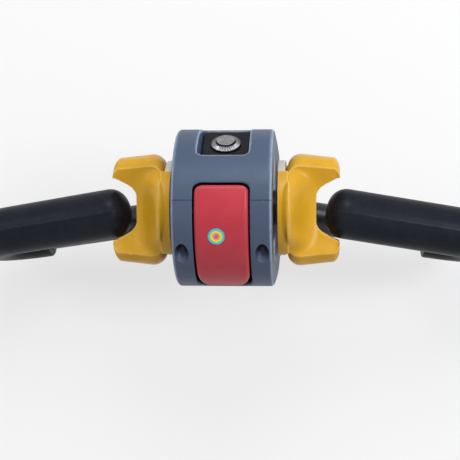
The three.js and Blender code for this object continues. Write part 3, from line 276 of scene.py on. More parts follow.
def mould(piece, voxel, passes):
    """Gives a piece one even skin with softly rounded edges, as it comes out of a mould."""
    skin_step = piece.modifiers.new("even_skin", "REMESH")
    skin_step.mode = "VOXEL"
    skin_step.voxel_size = voxel * MM * 1
    skin_step.use_smooth_shade = True
    round_step = piece.modifiers.new("round_edges", "SMOOTH")
    round_step.factor = 0.5
    round_step.iterations = passes
    settle(piece)


def crisp(piece):
    """Keeps a turned or machined piece's flat faces flat in the light."""
    piece.data.set_sharp_from_angle(angle=SHARP)
    piece.modifiers.new("flat_faces", "WEIGHTED_NORMAL").keep_sharp = True
    return settle(piece)


def upright(u, v, w):
    return (u, v, w)


def along_x(u, v, w):
    return (w, u, v)


def along_y(u, v, w):
    return (v, w, u)


def full_turn(sides):
    return [2 * pi * i / sides for i in range(sides)]


def quarter_turn(steps):
    return [pi / 2 * k / steps for k in range(steps + 1)]


def turned(name, place, profile, middle=(0, 0), sides=ROUND):
    """A lathe piece: radius and level pairs about an axis through the middle."""
    u, v = middle
    rings = []
    for radius, w in profile:
        rings.append([
            place(u + radius * cos(a), v + radius * sin(a), w) for a in full_turn(sides)
        ])
    return skin(name, rings)


def rod(name, place, low, high, radius, middle=(0, 0), sides=ROUND):
    return turned(name, place, [(radius, low), (radius, high)], middle, sides)


def rounded_outline(x0, x1, y0, y1, radius):
    """A rectangle with rounded corners."""
    corners = [(x1, y1, 1, 1), (x0, y1, -1, 1), (x0, y0, -1, -1), (x1, y0, 1, -1)]
    points = []
    for quarter, (x, y, sx, sy) in enumerate(corners):
        for k in range(CORNER_STEPS + 1):
            a = pi / 2 * (quarter + k / CORNER_STEPS)
            points.append((x - sx * radius + radius * cos(a), y - sy * radius + radius * sin(a)))
    return points


def pushed(name, place, points, low, high):
    """An outline pushed from one level to another."""
    return skin(name, [[place(x, y, w) for x, y in points] for w in (low, high)])


def opened(material):
    """A material's shader, and the place on the object to texture it by."""
    nodes = material.node_tree.nodes
    return nodes["Principled BSDF"], nodes["Texture Coordinate"].outputs["Object"]


def new_finish(name):
    material = bpy.data.materials.new(name)
    material.use_nodes = True
    material.node_tree.nodes.new("ShaderNodeTexCoord")
    return material, *opened(material)


def mottle(place, size, detail=3.0):
    """Soft random patches about so many millimetres across."""
    patches = new_node(place, "TexNoise")
    patches.inputs["Scale"].default_value = 1 / (size * MM)
    patches.inputs["Detail"].default_value = detail
    feed(place, patches.inputs["Vector"])
    return patches.outputs["Fac"]


def blend_colours(share, first, second):
    """Mixes two colours, each a colour or another node's output."""
    both = new_node(share, "Mix")
    both.data_type = "RGBA"
    feed(share, both.inputs["Factor"])
    for colour, socket in ((first, both.inputs[6]), (second, both.inputs[7])):
        feed((*colour, 1) if isinstance(colour, tuple) else colour, socket)
    return both.outputs[2]


def times(first, second):
    return arithmetic("MULTIPLY", first, second)


def worn_and_highlit_edge_mask(place, start, end):
    """One along outer edges and nought on flat faces: where handling rubs a surface, and where a highlight
    is painted.
    """
    return spread(new_node(place, "NewGeometry").outputs["Pointiness"], 0, 1, start, end)


def roughen(shader, height, depth):
    """Stands a surface's grain up by so many millimetres."""
    relief = new_node(shader, "Bump")
    relief.inputs["Distance"].default_value = depth * MM
    feed(height, relief.inputs["Height"])
    feed(relief.outputs["Normal"], shader.inputs["Normal"])


def finished(name, drift, first, second, gloss, grain, metal=0, shine=0.5):
    """A material whose colour drifts from one to another in patches so many millimetres across.

    Gloss holds the size of its patches and the least and most roughness, and grain holds its size,
    its detail and its height.
    """
    material, shader, place = new_finish(name)
    patches = spread(mottle(place, drift), 0, 1)
    feed(blend_colours(patches, first, second), shader.inputs["Base Color"])
    size, least, most = gloss
    feed(spread(mottle(place, size), least, most), shader.inputs["Roughness"])
    size, detail, height = grain
    roughen(shader, mottle(place, size, detail), height)
    shader.inputs["Metallic"].default_value = metal
    shader.inputs["Specular IOR Level"].default_value = shine
    return material


def edges_worn_and_highlit(material, edges, patches, colour):
    """Lightens a material's outer edges to another colour, here more and there less: rubbing on some
    materials, a painted highlight on others.
    """
    shader, place = opened(material)
    size, least, most = patches
    rub_and_highlight = times(worn_and_highlit_edge_mask(place, *edges), spread(mottle(place, size), least, most))
    under = shader.inputs["Base Color"].links[0].from_socket
    feed(blend_colours(rub_and_highlight, under, colour), shader.inputs["Base Color"])


def fit(piece, body, slot, finish, *nodes):
    """Gives a piece its finish and the body it rides on, in place of the frame's nodes."""
    piece.data.materials.clear()
    piece.data.materials.append(finish)
    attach(piece, body)
    if nodes:
        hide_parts(*nodes)


column_profile = [
    (FLANGE_RADIUS - FLANGE_FACE_CHAMFER, FLANGE_FACE),
    (FLANGE_RADIUS, FLANGE_FACE + FLANGE_FACE_CHAMFER),
    (FLANGE_RADIUS, FLANGE_TOP - FLANGE_TOP_CHAMFER),
    (FLANGE_RADIUS - FLANGE_TOP_CHAMFER, FLANGE_TOP),
]
for a in quarter_turn(FILLET_STEPS):
    column_profile.append((
        COLUMN_RADIUS + COLUMN_FILLET * (1 - sin(a)),
        FLANGE_TOP + COLUMN_FILLET * (1 - cos(a)),
    ))
column_profile.append((COLUMN_RADIUS, BLOCK_FOOT + COLUMN_INTO_BLOCK))
neck = turned("neck_casting", upright, column_profile)
block_outline = rounded_outline(
    -BLOCK_HALF_WIDTH, BLOCK_HALF_WIDTH, -BLOCK_HALF_DEPTH, BLOCK_HALF_DEPTH, BLOCK_CORNER
)
machine(neck, [pushed("neck_block", upright, block_outline, BLOCK_FOOT, BLOCK_TOP)], "UNION")
near, far = BAR_INNER_END - FIT_GAP, BLOCK_HALF_WIDTH + CUT_PAST
holes = [
    rod("right_bar_bore", along_x, near, far, BAR_RADIUS + FIT_GAP, (0, BAR_LEVEL)),
    rod("left_bar_bore", along_x, -far, -near, BAR_RADIUS + FIT_GAP, (0, BAR_LEVEL)),
    rod("cable_bore", upright, FLANGE_FACE - CUT_OVER, BLOCK_TOP + CUT_OVER, CABLE_BORE_RADIUS),
]
span = BLOCK_HALF_DEPTH + CUT_PAST
for side in (-1, 1):
    pin_place = (BAR_LEVEL, side * BAR_PIN_OFFSET)
    holes.append(rod("bar_pin_hole", along_y, -span, span, BAR_PIN_RADIUS + FIT_GAP, pin_place))
for i in range(4):
    a = pi / 4 + pi / 2 * i
    bolt_place = (BOLT_CIRCLE * cos(a), BOLT_CIRCLE * sin(a))
    ends = (FLANGE_FACE - CUT_OVER, FLANGE_TOP + CUT_OVER)
    holes.append(rod("bolt_hole", upright, *ends, BOLT_HOLE_RADIUS, bolt_place))
machine(neck, holes)
mould(neck, NECK_VOXEL, NECK_SMOOTHING)
alloy = finished(
    "cast_alloy", 9, (0.36, 0.37, 0.39), (0.46, 0.47, 0.49), (2, 0.42, 0.62), (0.9, 3, 0.12), metal=0.85
)
edges_worn_and_highlit(alloy, (0.52, 0.6), (9, 1, 1), (0.62, 0.63, 0.65))
fit(neck, "root", "cast_alloy", alloy, "neck")

# ---- chassis and what it carries ----
# Inside the covers stands a black moulded chassis with the sensor board, the belly button's switch
# and pin and the pins that hold the loop bars, and with the throttle's shaft and cam and the push
# button's nut. All of it is hidden, so the frame's own nodes stay.


def bright_steel(name, colour, least, most):
    dull = tuple(0.8 * part for part in colour)
    return finished(name, 4, dull, colour, (0.8, least, most), (0.3, 3, 0.01), metal=1)


def lacquered_board():
    material, shader, place = new_finish("lacquered_board")
    tracks = new_node(place, "TexBrick")
    tracks.inputs["Scale"].default_value = 300
    tracks.inputs["Mortar Size"].default_value = 0.03
    tracks.inputs["Color1"].default_value = (0.012, 0.1, 0.04, 1)
    tracks.inputs["Color2"].default_value = (0.016, 0.12, 0.05, 1)
    tracks.inputs["Mortar"].default_value = (0.03, 0.2, 0.08, 1)
    feed(place, tracks.inputs["Vector"])
    feed(tracks.outputs["Color"], shader.inputs["Base Color"])
    feed(spread(mottle(place, 5), 0.2, 0.35), shader.inputs["Roughness"])
    return material


def dress(finish, *nodes):
    """Gives nodes of the frame that stay in view their finish and smooth round faces."""
    for node in nodes:
        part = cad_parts[node]
        part.data.shade_smooth()
        part.data.set_sharp_from_angle(angle=SHARP)
        if not part.material_slots:
            part.data.materials.append(finish)
        for place in part.material_slots:
            place.material = finish


black_plastic = finished(
    "moulded_black", 12, (0.018, 0.018, 0.02), (0.028, 0.028, 0.031), (3, 0.45, 0.6), (0.4, 3, 0.03)
)
spring_steel = bright_steel("spring_steel", (0.62, 0.62, 0.63), 0.18, 0.32)
zinc_steel = bright_steel("zinc_steel", (0.5, 0.5, 0.49), 0.3, 0.45)
dress(black_plastic, "chassis", "belly_switch", "throttle_cam")
dress(lacquered_board(), "sensor_board")
dress(spring_steel, "belly_button_pin", "right_loop_bar_pin", "left_loop_bar_pin", "throttle_shaft")
dress(zinc_steel, "push_button_nut")

# ---- springs ----
# Two springs wound from round steel wire: a compression spring under the belly button, with closed
# ends, and a torsion spring whose legs stand on the chassis and bring the throttle back.
WIRE_SIDES = 12
WIRE_STEPS = 32  # steps of a turn


def no_ridge(a, radius):
    return 0


def rings_along(run, sides, side, ridge=no_ridge, heading=1):
    """Rings square to a run of places, each with its radius, and a ridge by angle and radius."""
    rings = []
    for i, (point, radius) in enumerate(run):
        before, after = run[max(i - 1, 0)][0], run[min(i + 1, len(run) - 1)][0]
        ahead = (after - before).normalized() * heading
        side = (side - ahead * side.dot(ahead)).normalized()
        up = ahead.cross(side)
        ring = []
        for a in full_turn(sides):
            ring.append(point + (side * cos(a) + up * sin(a)) * (radius + ridge(a, radius)))
        rings.append(ring)
    return rings


def swept(name, points, radius, sides, first_side):
    """A round bar along a run of points."""
    return skin(name, rings_along([(point, radius) for point in points], sides, Vector(first_side)))


def wire_coil(turns, place):
    """Points of a coil: place gives one from its angle and the share of the coil's length."""
    steps = round(turns * WIRE_STEPS)
    return [place(2 * pi * i / WIRE_STEPS, i / steps) for i in range(steps + 1)]


belly_low, belly_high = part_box("belly_button_spring")
coil_low, coil_high = measured((belly_low, belly_high))
BELLY_WIRE = 0.7
BELLY_TURNS = 7
belly_coil_radius = (coil_high[0] - coil_low[0]) / 2 - BELLY_WIRE
belly_coil_y = (coil_high[1] + coil_low[1]) / 2
belly_coil_foot = coil_low[2] + BELLY_WIRE
belly_coil_top = coil_high[2] - BELLY_WIRE
CLOSED_END = 0.14  # share of the turns that lie flat at each end


def belly_coil_point(a, share):
    """The turns lie close together at both ends and open out between them."""
    closed = 2 * BELLY_WIRE / (belly_coil_top - belly_coil_foot)
    if share < CLOSED_END:
        rise = closed * share / CLOSED_END
    elif share > 1 - CLOSED_END:
        rise = 1 - closed * (1 - share) / CLOSED_END
    else:
        rise = closed + (1 - 2 * closed) * (share - CLOSED_END) / (1 - 2 * CLOSED_END)
    w = belly_coil_foot + (belly_coil_top - belly_coil_foot) * rise
    return Vector((belly_coil_radius * cos(a), belly_coil_y + belly_coil_radius * sin(a), w))


belly_coil = swept(
    "belly_return_coil", wire_coil(BELLY_TURNS, belly_coil_point), BELLY_WIRE, WIRE_SIDES, (1, 0, 0)
)
fit(belly_coil, "root", "spring_steel", spring_steel, "belly_button_spring")
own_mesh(belly_coil)

turn_low, turn_high = measured(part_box("throttle_return_spring"))
THROTTLE_WIRE = 0.8
THROTTLE_TURNS = 3.5
turn_coil_radius = turn_high[2] - THROTTLE_WIRE
turn_coil_from = turn_low[0] + THROTTLE_WIRE
turn_coil_to = turn_high[0] - THROTTLE_WIRE


def throttle_coil_point(a, share):
    x = turn_coil_from + (turn_coil_to - turn_coil_from) * share
    return Vector((x, turn_coil_radius * cos(a), turn_coil_radius * sin(a)))


coil_run = wire_coil(THROTTLE_TURNS, throttle_coil_point)
legs = [Vector((end.x, end.y, turn_low[2])) for end in (coil_run[0], coil_run[-1])]
coil_run = [legs[0], *coil_run, legs[1]]
throttle_coil = swept("throttle_return_coil", coil_run, THROTTLE_WIRE, WIRE_SIDES, (1, 0, 0))
fit(throttle_coil, "root", "spring_steel", spring_steel, "throttle_return_spring")

# ---- loop bars and grips ----
# Each hand loop is a steel tube, bent and painted black, that starts in the neck's block. A soft
# black grip is moulded over its outer bend and ends in a dome inside the butterfly's hollow.
BAR_ELBOW = 58
ELBOW_RADIUS = 60
LOOP_SWEEP = radians(8)  # the loops lean towards the lower cover's side
LOOP_REACH = 190
LOOP_LOWER_LEVEL = BAR_LEVEL - 9
LOOP_UPPER_LEVEL = -28
LOOP_CORNER = 30
GRIP_RADIUS = 18.6
GRIP_TIP = 74
GRIP_TIP_LEVEL = -1
GRIP_DOME = 14
GRIP_SLEEVE_END = 153
GRIP_SOLID_END = 24
BEND_STEPS = 24  # steps of a right-angle bend
BAR_SIDES = 64
GRIP_SIDES = 96
LIP_ROUND = 1.6
LIP_STEPS = 5
DOME_STEPS = 14
DOME_FULLNESS = 0.75
DOME_TIP_RADIUS = 0.8
SEAM_HEIGHT = 0.3
SEAM_WIDTH = radians(2.4)


def loop_point(x, z):
    return Vector((x, -max((x - BAR_ELBOW) * tan(LOOP_SWEEP), 0), z))


def rounded_route(corners, radii):
    """A run of points along straight lines whose corners are rounded."""
    points = [corners[0]]
    for before, corner, after, radius in zip(corners, corners[1:], corners[2:], radii):
        into, out = (corner - before).normalized(), (after - corner).normalized()
        bend = into.angle(out)
        start = corner - into * radius * tan(bend / 2)
        centre = corner + (out - into).normalized() * radius / cos(bend / 2)
        spin = into.cross(out).normalized()
        count = max(2, round(BEND_STEPS * bend / (pi / 2)))
        for k in range(count + 1):
            swing = Matrix.Rotation(bend * k / count, 3, spin)
            points.append(centre + swing @ (start - centre))
    points.append(corners[-1])
    return points


def mirrored(piece, name):
    """The same piece for the left-hand side."""
    mesh = piece.data.copy()
    mesh.transform(Matrix.Scale(-1, 4, (1, 0, 0)))
    mesh.flip_normals()
    return shown(name, mesh)


def fit_pair(piece, left_name, body, slot, finish, node):
    """Fits a right-hand piece and its mirror image."""
    other = mirrored(piece, left_name)
    fit(piece, body, slot, finish, "right_" + node)
    fit(other, body, slot, finish, "left_" + node)


lower_elbow = loop_point(BAR_ELBOW, BAR_LEVEL)
lower_corner = loop_point(LOOP_REACH, LOOP_LOWER_LEVEL)
upper_corner = loop_point(LOOP_REACH, LOOP_UPPER_LEVEL)
grip_tip = loop_point(GRIP_TIP, GRIP_TIP_LEVEL)
back = (upper_corner - grip_tip).normalized()
bar_end = grip_tip + back * GRIP_SOLID_END
bar_root = Vector((BAR_INNER_END, 0, BAR_LEVEL))
bar_route = rounded_route(
    [bar_root, lower_elbow, lower_corner, upper_corner, bar_end], [ELBOW_RADIUS, LOOP_CORNER, LOOP_CORNER]
)
right_bar = swept("right_loop_tube", bar_route, BAR_RADIUS, BAR_SIDES, (0, 1, 0))
tube_paint = finished(
    "painted_tube", 14, (0.006, 0.006, 0.007), (0.01, 0.01, 0.012), (6, 0.28, 0.4), (1.6, 3, 0.03),
    shine=0.35,
)
fit_pair(right_bar, "left_loop_tube", "root", "bar_black", tube_paint, "loop_bar")

sleeve_share = (GRIP_SLEEVE_END - BAR_ELBOW) / (LOOP_REACH - BAR_ELBOW)
sleeve_end = lower_elbow.lerp(lower_corner, sleeve_share)
shoulder = grip_tip + back * GRIP_DOME
sleeve_route = rounded_route([sleeve_end, lower_corner, upper_corner, shoulder], [LOOP_CORNER, LOOP_CORNER])
sleeve_start = (sleeve_route[1] - sleeve_route[0]).normalized()
bore_end = bar_end - back * 2 * FIT_GAP
bore_route = rounded_route([sleeve_end, lower_corner, upper_corner, bore_end], [LOOP_CORNER, LOOP_CORNER])


def seam(a, radius):
    """The fine ridge where the mould's halves met, on both sides of the grip."""
    off = min(abs(a - pi / 2), abs(a - 3 * pi / 2))
    return SEAM_HEIGHT * exp(-((off / SEAM_WIDTH) ** 2)) * min(radius / GRIP_RADIUS, 1)


def grip_skin(name):
    """The sleeve's bore from its inner end, its lip, its outside and its domed end, as one skin."""
    inner = [(point, BAR_RADIUS + FIT_GAP) for point in reversed(bore_route)]
    outer = []
    for a in reversed(quarter_turn(LIP_STEPS)):
        place = sleeve_end + sleeve_start * LIP_ROUND * (1 - sin(a))
        outer.append((place, GRIP_RADIUS - LIP_ROUND * (1 - cos(a))))
    outer += [(point, GRIP_RADIUS) for point in sleeve_route[1:]]
    for a in quarter_turn(DOME_STEPS)[1:]:
        radius = max(GRIP_RADIUS * cos(a) ** DOME_FULLNESS, DOME_TIP_RADIUS)
        outer.append((shoulder - back * GRIP_DOME * sin(a), radius))
    side = Vector((0, 1, 0))
    bore = rings_along(inner, GRIP_SIDES, side, heading=-1)
    return skin(name, bore + rings_along(outer, GRIP_SIDES, side, seam))


right_grip = grip_skin("right_grip_sleeve")
grip_rubber = finished(
    "soft_grip", 18, (0.006, 0.008, 0.014), (0.009, 0.011, 0.019), (5, 0.34, 0.44), (0.5, 3, 0.025),
    shine=0.1,
)
edges_worn_and_highlit(grip_rubber, (0.505, 0.54), (4, 0, 0.5), (0.06, 0.06, 0.065))
fit_pair(right_grip, "left_grip_sleeve", "root", "grip_black", grip_rubber, "grip")

# ---- covers ----
# The housing is moulded in grained grey nylon in two hollow halves, the upper and the lower cover.
# They part along the throttle shaft and are screwed together from below, through bosses inside.
COVER_VOXEL = 0.84
COVER_SMOOTHING = 4  # passes
cover_low, cover_high = measured(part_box("upper_cover"))
DRUM_RADIUS = cover_high[2]
HOUSING_REACH = -cover_low[2]
COLLAR_RADIUS = 18.5
COLLAR_STAND = 4
DRUM_HALF_WIDTH = 35.5
SHOULDER_HALF_WIDTH = cover_high[0] - COLLAR_STAND
SHOULDER_START = -4
SHOULDER_RUN = 40
DRUM_WRAP = radians(112)  # the drum's round part, each way from the front
WRAP_STEPS = 72
NECK_HALF_DEPTH = 31
NECK_LENGTH = 16
TAPER_PULL = 0.38  # how far the taper's curve runs on straight, as a share of its height
TAPER_STEPS = 24
COVER_WALL = 3
EDGE_ROUND = 2.5
EDGE_STEPS = 7
PARTING_GAP = 0.35
SCREW_WELL_RADIUS = 5
SCREW_BOSS_RADIUS = 6.5
SCREW_BOSS_INSET = 0.5
SCREW_SEAT = 12
SCREW_SHANK_RADIUS = 1.8
SCREW_BITE = 15
SCREW_TIP_ROOM = 2
SHAFT_END, _, SHAFT_RADIUS = measured((shaft_low, shaft_high))[1]
BUSH_BARREL_RADIUS = 9
RUN_GAP = 0.6
disc_low, disc_high = measured(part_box("right_throttle_disc"))
DISC_RADIUS = disc_high[2]
DISC_FACE = disc_low[0]
SADDLE_THICKNESS = 2.8
RECESS_FACE = DRUM_HALF_WIDTH - 0.4
RECESS_RADIUS = DISC_RADIUS + FIT_GAP + SADDLE_THICKNESS + RUN_GAP + 0.4
PANEL_ANGLE = radians(50)
PANEL_LEVEL = DRUM_RADIUS - 13
PANEL_THICKNESS = 2
PANEL_BACK = 34
POCKET_HALF_WIDTH = 17.2
POCKET_FRONT = 14.6
POCKET_CORNER = 4
POCKET_WALL = 2.5
POCKET_DRAFT = radians(5)
PUSH_BUTTON_SET = 16
BARREL_RADIUS = 9
FAR = 3 * DRUM_RADIUS
OPEN_LEVEL = 1.4 * DRUM_RADIUS  # well outside the drum
RIM_START, RIM_END = 32.5, 33.5  # where the drum's rims begin, across
UPPER_SIDE_START, UPPER_SIDE_END = 18, 24  # where the push button's side of the drum begins
SHELTER_REACH = 12


def side_view():
    """The housing seen from the side, from the neck's lower corner round the front."""
    upper = []
    for i in range(WRAP_STEPS + 1):
        a = DRUM_WRAP * i / WRAP_STEPS
        upper.append((DRUM_RADIUS * sin(a), DRUM_RADIUS * cos(a)))
    y, z = upper[-1]
    neck_top = NECK_LENGTH - HOUSING_REACH
    lead = (z - neck_top) * TAPER_PULL
    taper = interpolate_bezier(
        (y, z),
        (y + lead * cos(DRUM_WRAP), z - lead * sin(DRUM_WRAP)),
        (NECK_HALF_DEPTH, neck_top + lead),
        (NECK_HALF_DEPTH, neck_top),
        TAPER_STEPS + 1,
    )
    upper += [(point[0], point[1]) for point in taper[1:]]
    upper.append((NECK_HALF_DEPTH, -HOUSING_REACH))
    return [(-y, z) for y, z in reversed(upper[1:])] + upper


def drawn_in(loop, inset):
    """A loop of points moved inwards."""
    moved = []
    for i, (y, z) in enumerate(loop):
        (y0, z0), (y1, z1) = loop[i - 1], loop[(i + 1) % len(loop)]
        before = Vector((z - z0, y0 - y)).normalized()
        after = Vector((z1 - z, y - y1)).normalized()
        middle = (before + after).normalized()
        reach = inset / middle.dot(before)
        moved.append((y + middle.x * reach, z + middle.y * reach))
    return moved


def smooth_step(value, low, high):
    share = min(max((value - low) / (high - low), 0), 1)
    return share * share * (3 - 2 * share)


def side_at(z):
    """The housing's half-width at a height."""
    share = smooth_step(SHOULDER_START - z, 0, SHOULDER_RUN)
    return DRUM_HALF_WIDTH + (SHOULDER_HALF_WIDTH - DRUM_HALF_WIDTH) * share


def housing_form(name, inset, edge):
    """The side view spread across the housing's width, with both side edges rounded."""
    view = side_view()
    sweep = quarter_turn(EDGE_STEPS) if edge else [0]
    rings = []
    for side, angles in ((-1, sweep), (1, reversed(sweep))):
        for a in angles:
            loop = drawn_in(view, inset + edge * (1 - sin(a)))
            back = edge * (1 - cos(a))
            rings.append([(side * (side_at(z) - inset - back), y, z) for y, z in loop])
    return skin(name, rings)


def on_panel(u, v, w):
    """A point of the panel: across it, back along it and out of it."""
    sine, cosine = sin(PANEL_ANGLE), cos(PANEL_ANGLE)
    return (u, v * cosine + w * sine, w * cosine - v * sine)


def on_button(u, v, w):
    return on_panel(u, v + PUSH_BUTTON_SET, w)


def pocket(name, extra, back, floor):
    """The panel's pocket, whose sides lean outwards, grown by a wall's thickness."""
    rings = []
    for w in (floor - extra, OPEN_LEVEL):
        half = POCKET_HALF_WIDTH + extra + (w - floor) * tan(POCKET_DRAFT)
        outline = rounded_outline(-half, half, -POCKET_FRONT - extra, back, POCKET_CORNER + extra)
        rings.append([on_panel(x, y, w) for x, y in outline])
    return skin(name, rings)


BELLY_TOP = radians(11)
BELLY_END = radians(-79)
BELLY_PROUD = 1.3
BELLY_OUTER = DRUM_RADIUS + BELLY_PROUD
BELLY_HALF_WIDTH = 19
BELLY_SKIRT_RADIUS = DRUM_RADIUS - 14
BELLY_SKIRT_ROOM = 4
BELLY_TOP_CORNER = 5.5
BELLY_END_CORNER = 9
BELLY_END_RUN = 21
BELLY_GAP = 1
BELLY_TRAVEL = radians(4.5)
SLOT_TOP_RADIUS = 1.2 * DRUM_RADIUS
TOP_STEPS = 10
RUN_STEPS = 60
END_STEPS = 24
CROWN_STEPS = 8
PATCH_EDGE_STEPS = 6
pin_low, pin_high = measured(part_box("belly_button_pin"))
BELLY_PIVOT_Y = (pin_low[1] + pin_high[1]) / 2
BELLY_PIVOT_Z = (pin_low[2] + pin_high[2]) / 2


def patch(name, top, end, half_width, top_corner, end_corner, end_run, inner, outer, edge=0):
    """A patch wrapped round the drum, with rounded corners and rounded outer edges."""
    length = (top - end) * outer
    run = length - top_corner - end_run
    stations = [top_corner * (1 - cos(a)) for a in quarter_turn(TOP_STEPS)]
    stations += [top_corner + run * k / RUN_STEPS for k in range(1, RUN_STEPS)]
    stations += [length - end_run * (1 - cos(a)) for a in reversed(quarter_turn(END_STEPS))]
    rings = []
    for s in stations:
        from_top = max(top_corner - s, 0)
        from_end = max(end_run - (length - s), 0) / end_run
        half = half_width - top_corner + sqrt(max(top_corner ** 2 - from_top ** 2, 0))
        half -= end_corner * (1 - sqrt(max(1 - from_end ** 2, 0)))
        near_end = max(edge - min(s, length - s), 0)
        crest = outer - edge + sqrt(max(edge ** 2 - near_end ** 2, 0))
        a = top - s / outer
        side = []
        for b in quarter_turn(PATCH_EDGE_STEPS):
            side.append((half - edge * (1 - cos(b)), crest - edge * (1 - sin(b))))
        section = [(-half, inner), (half, inner)]
        if edge:
            crown = [(side[-1][0] * (1 - 2 * k / CROWN_STEPS), crest) for k in range(1, CROWN_STEPS)]
            section += side + crown + [(-x, r) for x, r in reversed(side)]
        else:
            section += [(half, crest), (-half, crest)]
        rings.append([(x, r * sin(a), r * cos(a)) for x, r in section])
    return skin(name, rings)


def belly_slot():
    swing = (BELLY_OUTER - BELLY_PIVOT_Z) * BELLY_TRAVEL
    drop = (BELLY_OUTER + BELLY_PIVOT_Y) * BELLY_TRAVEL
    return patch(
        "belly_slot",
        BELLY_TOP + (swing + RUN_GAP) / DRUM_RADIUS,
        BELLY_END - (drop + 2 * RUN_GAP) / DRUM_RADIUS,
        BELLY_HALF_WIDTH + BELLY_GAP,
        BELLY_TOP_CORNER + BELLY_GAP,
        BELLY_END_CORNER + BELLY_GAP,
        BELLY_END_RUN - drop,
        BELLY_SKIRT_RADIUS - BELLY_SKIRT_ROOM,
        SLOT_TOP_RADIUS,
    )


def disc_recess(extra):
    radius = RECESS_RADIUS + extra
    return [
        rod("right_recess", along_x, RECESS_FACE - extra, FAR, radius),
        rod("left_recess", along_x, -FAR, extra - RECESS_FACE, radius),
    ]


def screw_places():
    """Where the four cover screws stand, each named, with its middle across and up."""
    for place in ("right_front", "left_front", "right_rear", "left_rear"):
        low, high = measured(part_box(place + "_cover_screw"))
        yield place, (low[0] + high[0]) / 2, (low[2] + high[2]) / 2


def part_along(vector, axis):
    parts = new_node(vector, "SeparateXYZ")
    feed(vector, parts.inputs[0])
    return parts.outputs[axis]


def rim_highlight_band(place):
    """One on the rounding of the drum's two rims, by where it lies and which way it faces: where a
    highlight is painted.
    """
    facing = new_node(place, "TexCoord").outputs["Normal"]
    sideways = arithmetic("ABSOLUTE", part_along(facing, "X"))
    band = times(spread(sideways, 0, 1, 0.2, 0.5), spread(sideways, 1, 0, 0.8, 0.97))
    across = arithmetic("ABSOLUTE", part_along(place, "X"))
    return times(band, spread(across, 0, 1, RIM_START * MM, RIM_END * MM))


def pocket_rim_highlight(place):
    """One on the rim of the push button's pocket, on the upper side of the drum, where a highlight is
    painted.
    """
    height = part_along(place, "Y")
    upper_side = spread(height, 0, 1, UPPER_SIDE_START * MM, UPPER_SIDE_END * MM)
    return times(worn_and_highlit_edge_mask(place, 0.507, 0.535), upper_side)


def recess_shade_mask(place):
    """One on open faces and nought deep in a recess, where shade is painted dark."""
    shelter = new_node(place, "AmbientOcclusion")
    shelter.inputs["Distance"].default_value = SHELTER_REACH * MM
    return shelter.outputs["AO"]


def grained_nylon(name, colour, specks_and_highlight):
    """Specked nylon, lightened along its rims as a painted highlight and darkened in its recesses as
    painted shade.
    """
    # deep is the colour of the painted shade in recesses.
    faded, deep = (tuple(share * part for part in colour) for share in (1.1, 0.14))
    material = finished(name, 25, colour, faded, (8, 0.4, 0.5), (0.35, 2, 0.03), shine=0.22)
    shader, place = opened(material)
    nylon = shader.inputs["Base Color"].links[0].from_socket
    rough = shader.inputs["Roughness"].links[0].from_socket
    specks = spread(mottle(place, 0.7, 1), 0, 0.05, 0.35, 0.75)
    nylon = blend_colours(specks, nylon, specks_and_highlight)
    # The drum's rims and the pocket's rim are lightened as a painted highlight.
    rims = arithmetic("MAXIMUM", rim_highlight_band(place), pocket_rim_highlight(place))
    rub_and_highlight = times(rims, spread(mottle(place, 5), 0.6, 1))
    nylon = blend_colours(rub_and_highlight, nylon, specks_and_highlight)
    # Painted shade: the colour darkens to the shade colour in recesses, where the roughness also drops.
    unshaded_share = spread(recess_shade_mask(place), 0, 1, 0.25, 0.75)
    feed(blend_colours(unshaded_share, deep, nylon), shader.inputs["Base Color"])
    gloss = times(spread(unshaded_share, 0.25, 1, 0, 1), rough)
    feed(gloss, shader.inputs["Roughness"])
    return material


housing = housing_form("upper_cover_shell", 0, EDGE_ROUND)
hollow = housing_form("hollow", COVER_WALL, 0)
machine(hollow, [
    *disc_recess(COVER_WALL),
    pocket("pocket_walls", POCKET_WALL, PANEL_BACK + 3 * POCKET_WALL, PANEL_LEVEL - PANEL_THICKNESS),
])
bosses = []
for place, x, z in screw_places():
    boss = rod(place + "_boss", along_y, -DRUM_RADIUS, DRUM_RADIUS, SCREW_BOSS_RADIUS, (z, x))
    bosses.append(machine(boss, [housing_form("limit", SCREW_BOSS_INSET, 0)], "INTERSECT"))
for side in (-1, 1):
    ends = sorted((side * (SHOULDER_HALF_WIDTH - COVER_WALL), side * cover_high[0]))
    bosses.append(rod("collar", along_x, ends[0], ends[1], COLLAR_RADIUS, (0, BAR_LEVEL)))
machine(housing, [hollow])
machine(housing, bosses, "UNION")
seat = PANEL_LEVEL - PANEL_THICKNESS
foot = -HOUSING_REACH
room_width, room_depth = BLOCK_HALF_WIDTH + FIT_GAP, BLOCK_HALF_DEPTH + FIT_GAP
block_room = rounded_outline(-room_width, room_width, -room_depth, room_depth, BLOCK_CORNER)
machine(housing, [
    *disc_recess(0),
    pocket("pocket_room", 0, DRUM_RADIUS, PANEL_LEVEL),
    pocket("panel_seat", 0, PANEL_BACK + FIT_GAP, seat),
    rod("button_hole", on_button, seat - 2 * POCKET_WALL, PANEL_LEVEL, BARREL_RADIUS + FIT_GAP),
    belly_slot(),
    rod("bush_bore", along_x, -FAR, FAR, BUSH_BARREL_RADIUS + FIT_GAP),
    rod("bar_bore", along_x, -FAR, FAR, BAR_RADIUS + FIT_GAP, (0, BAR_LEVEL)),
    rod("neck_hole", upright, foot - CUT_PAST, foot + CUT_PAST, COLUMN_RADIUS + FIT_GAP),
    pushed("block_room", upright, block_room, BLOCK_FOOT, BLOCK_TOP + FIT_GAP),
])
shank = SCREW_SHANK_RADIUS + FIT_GAP
wells = []
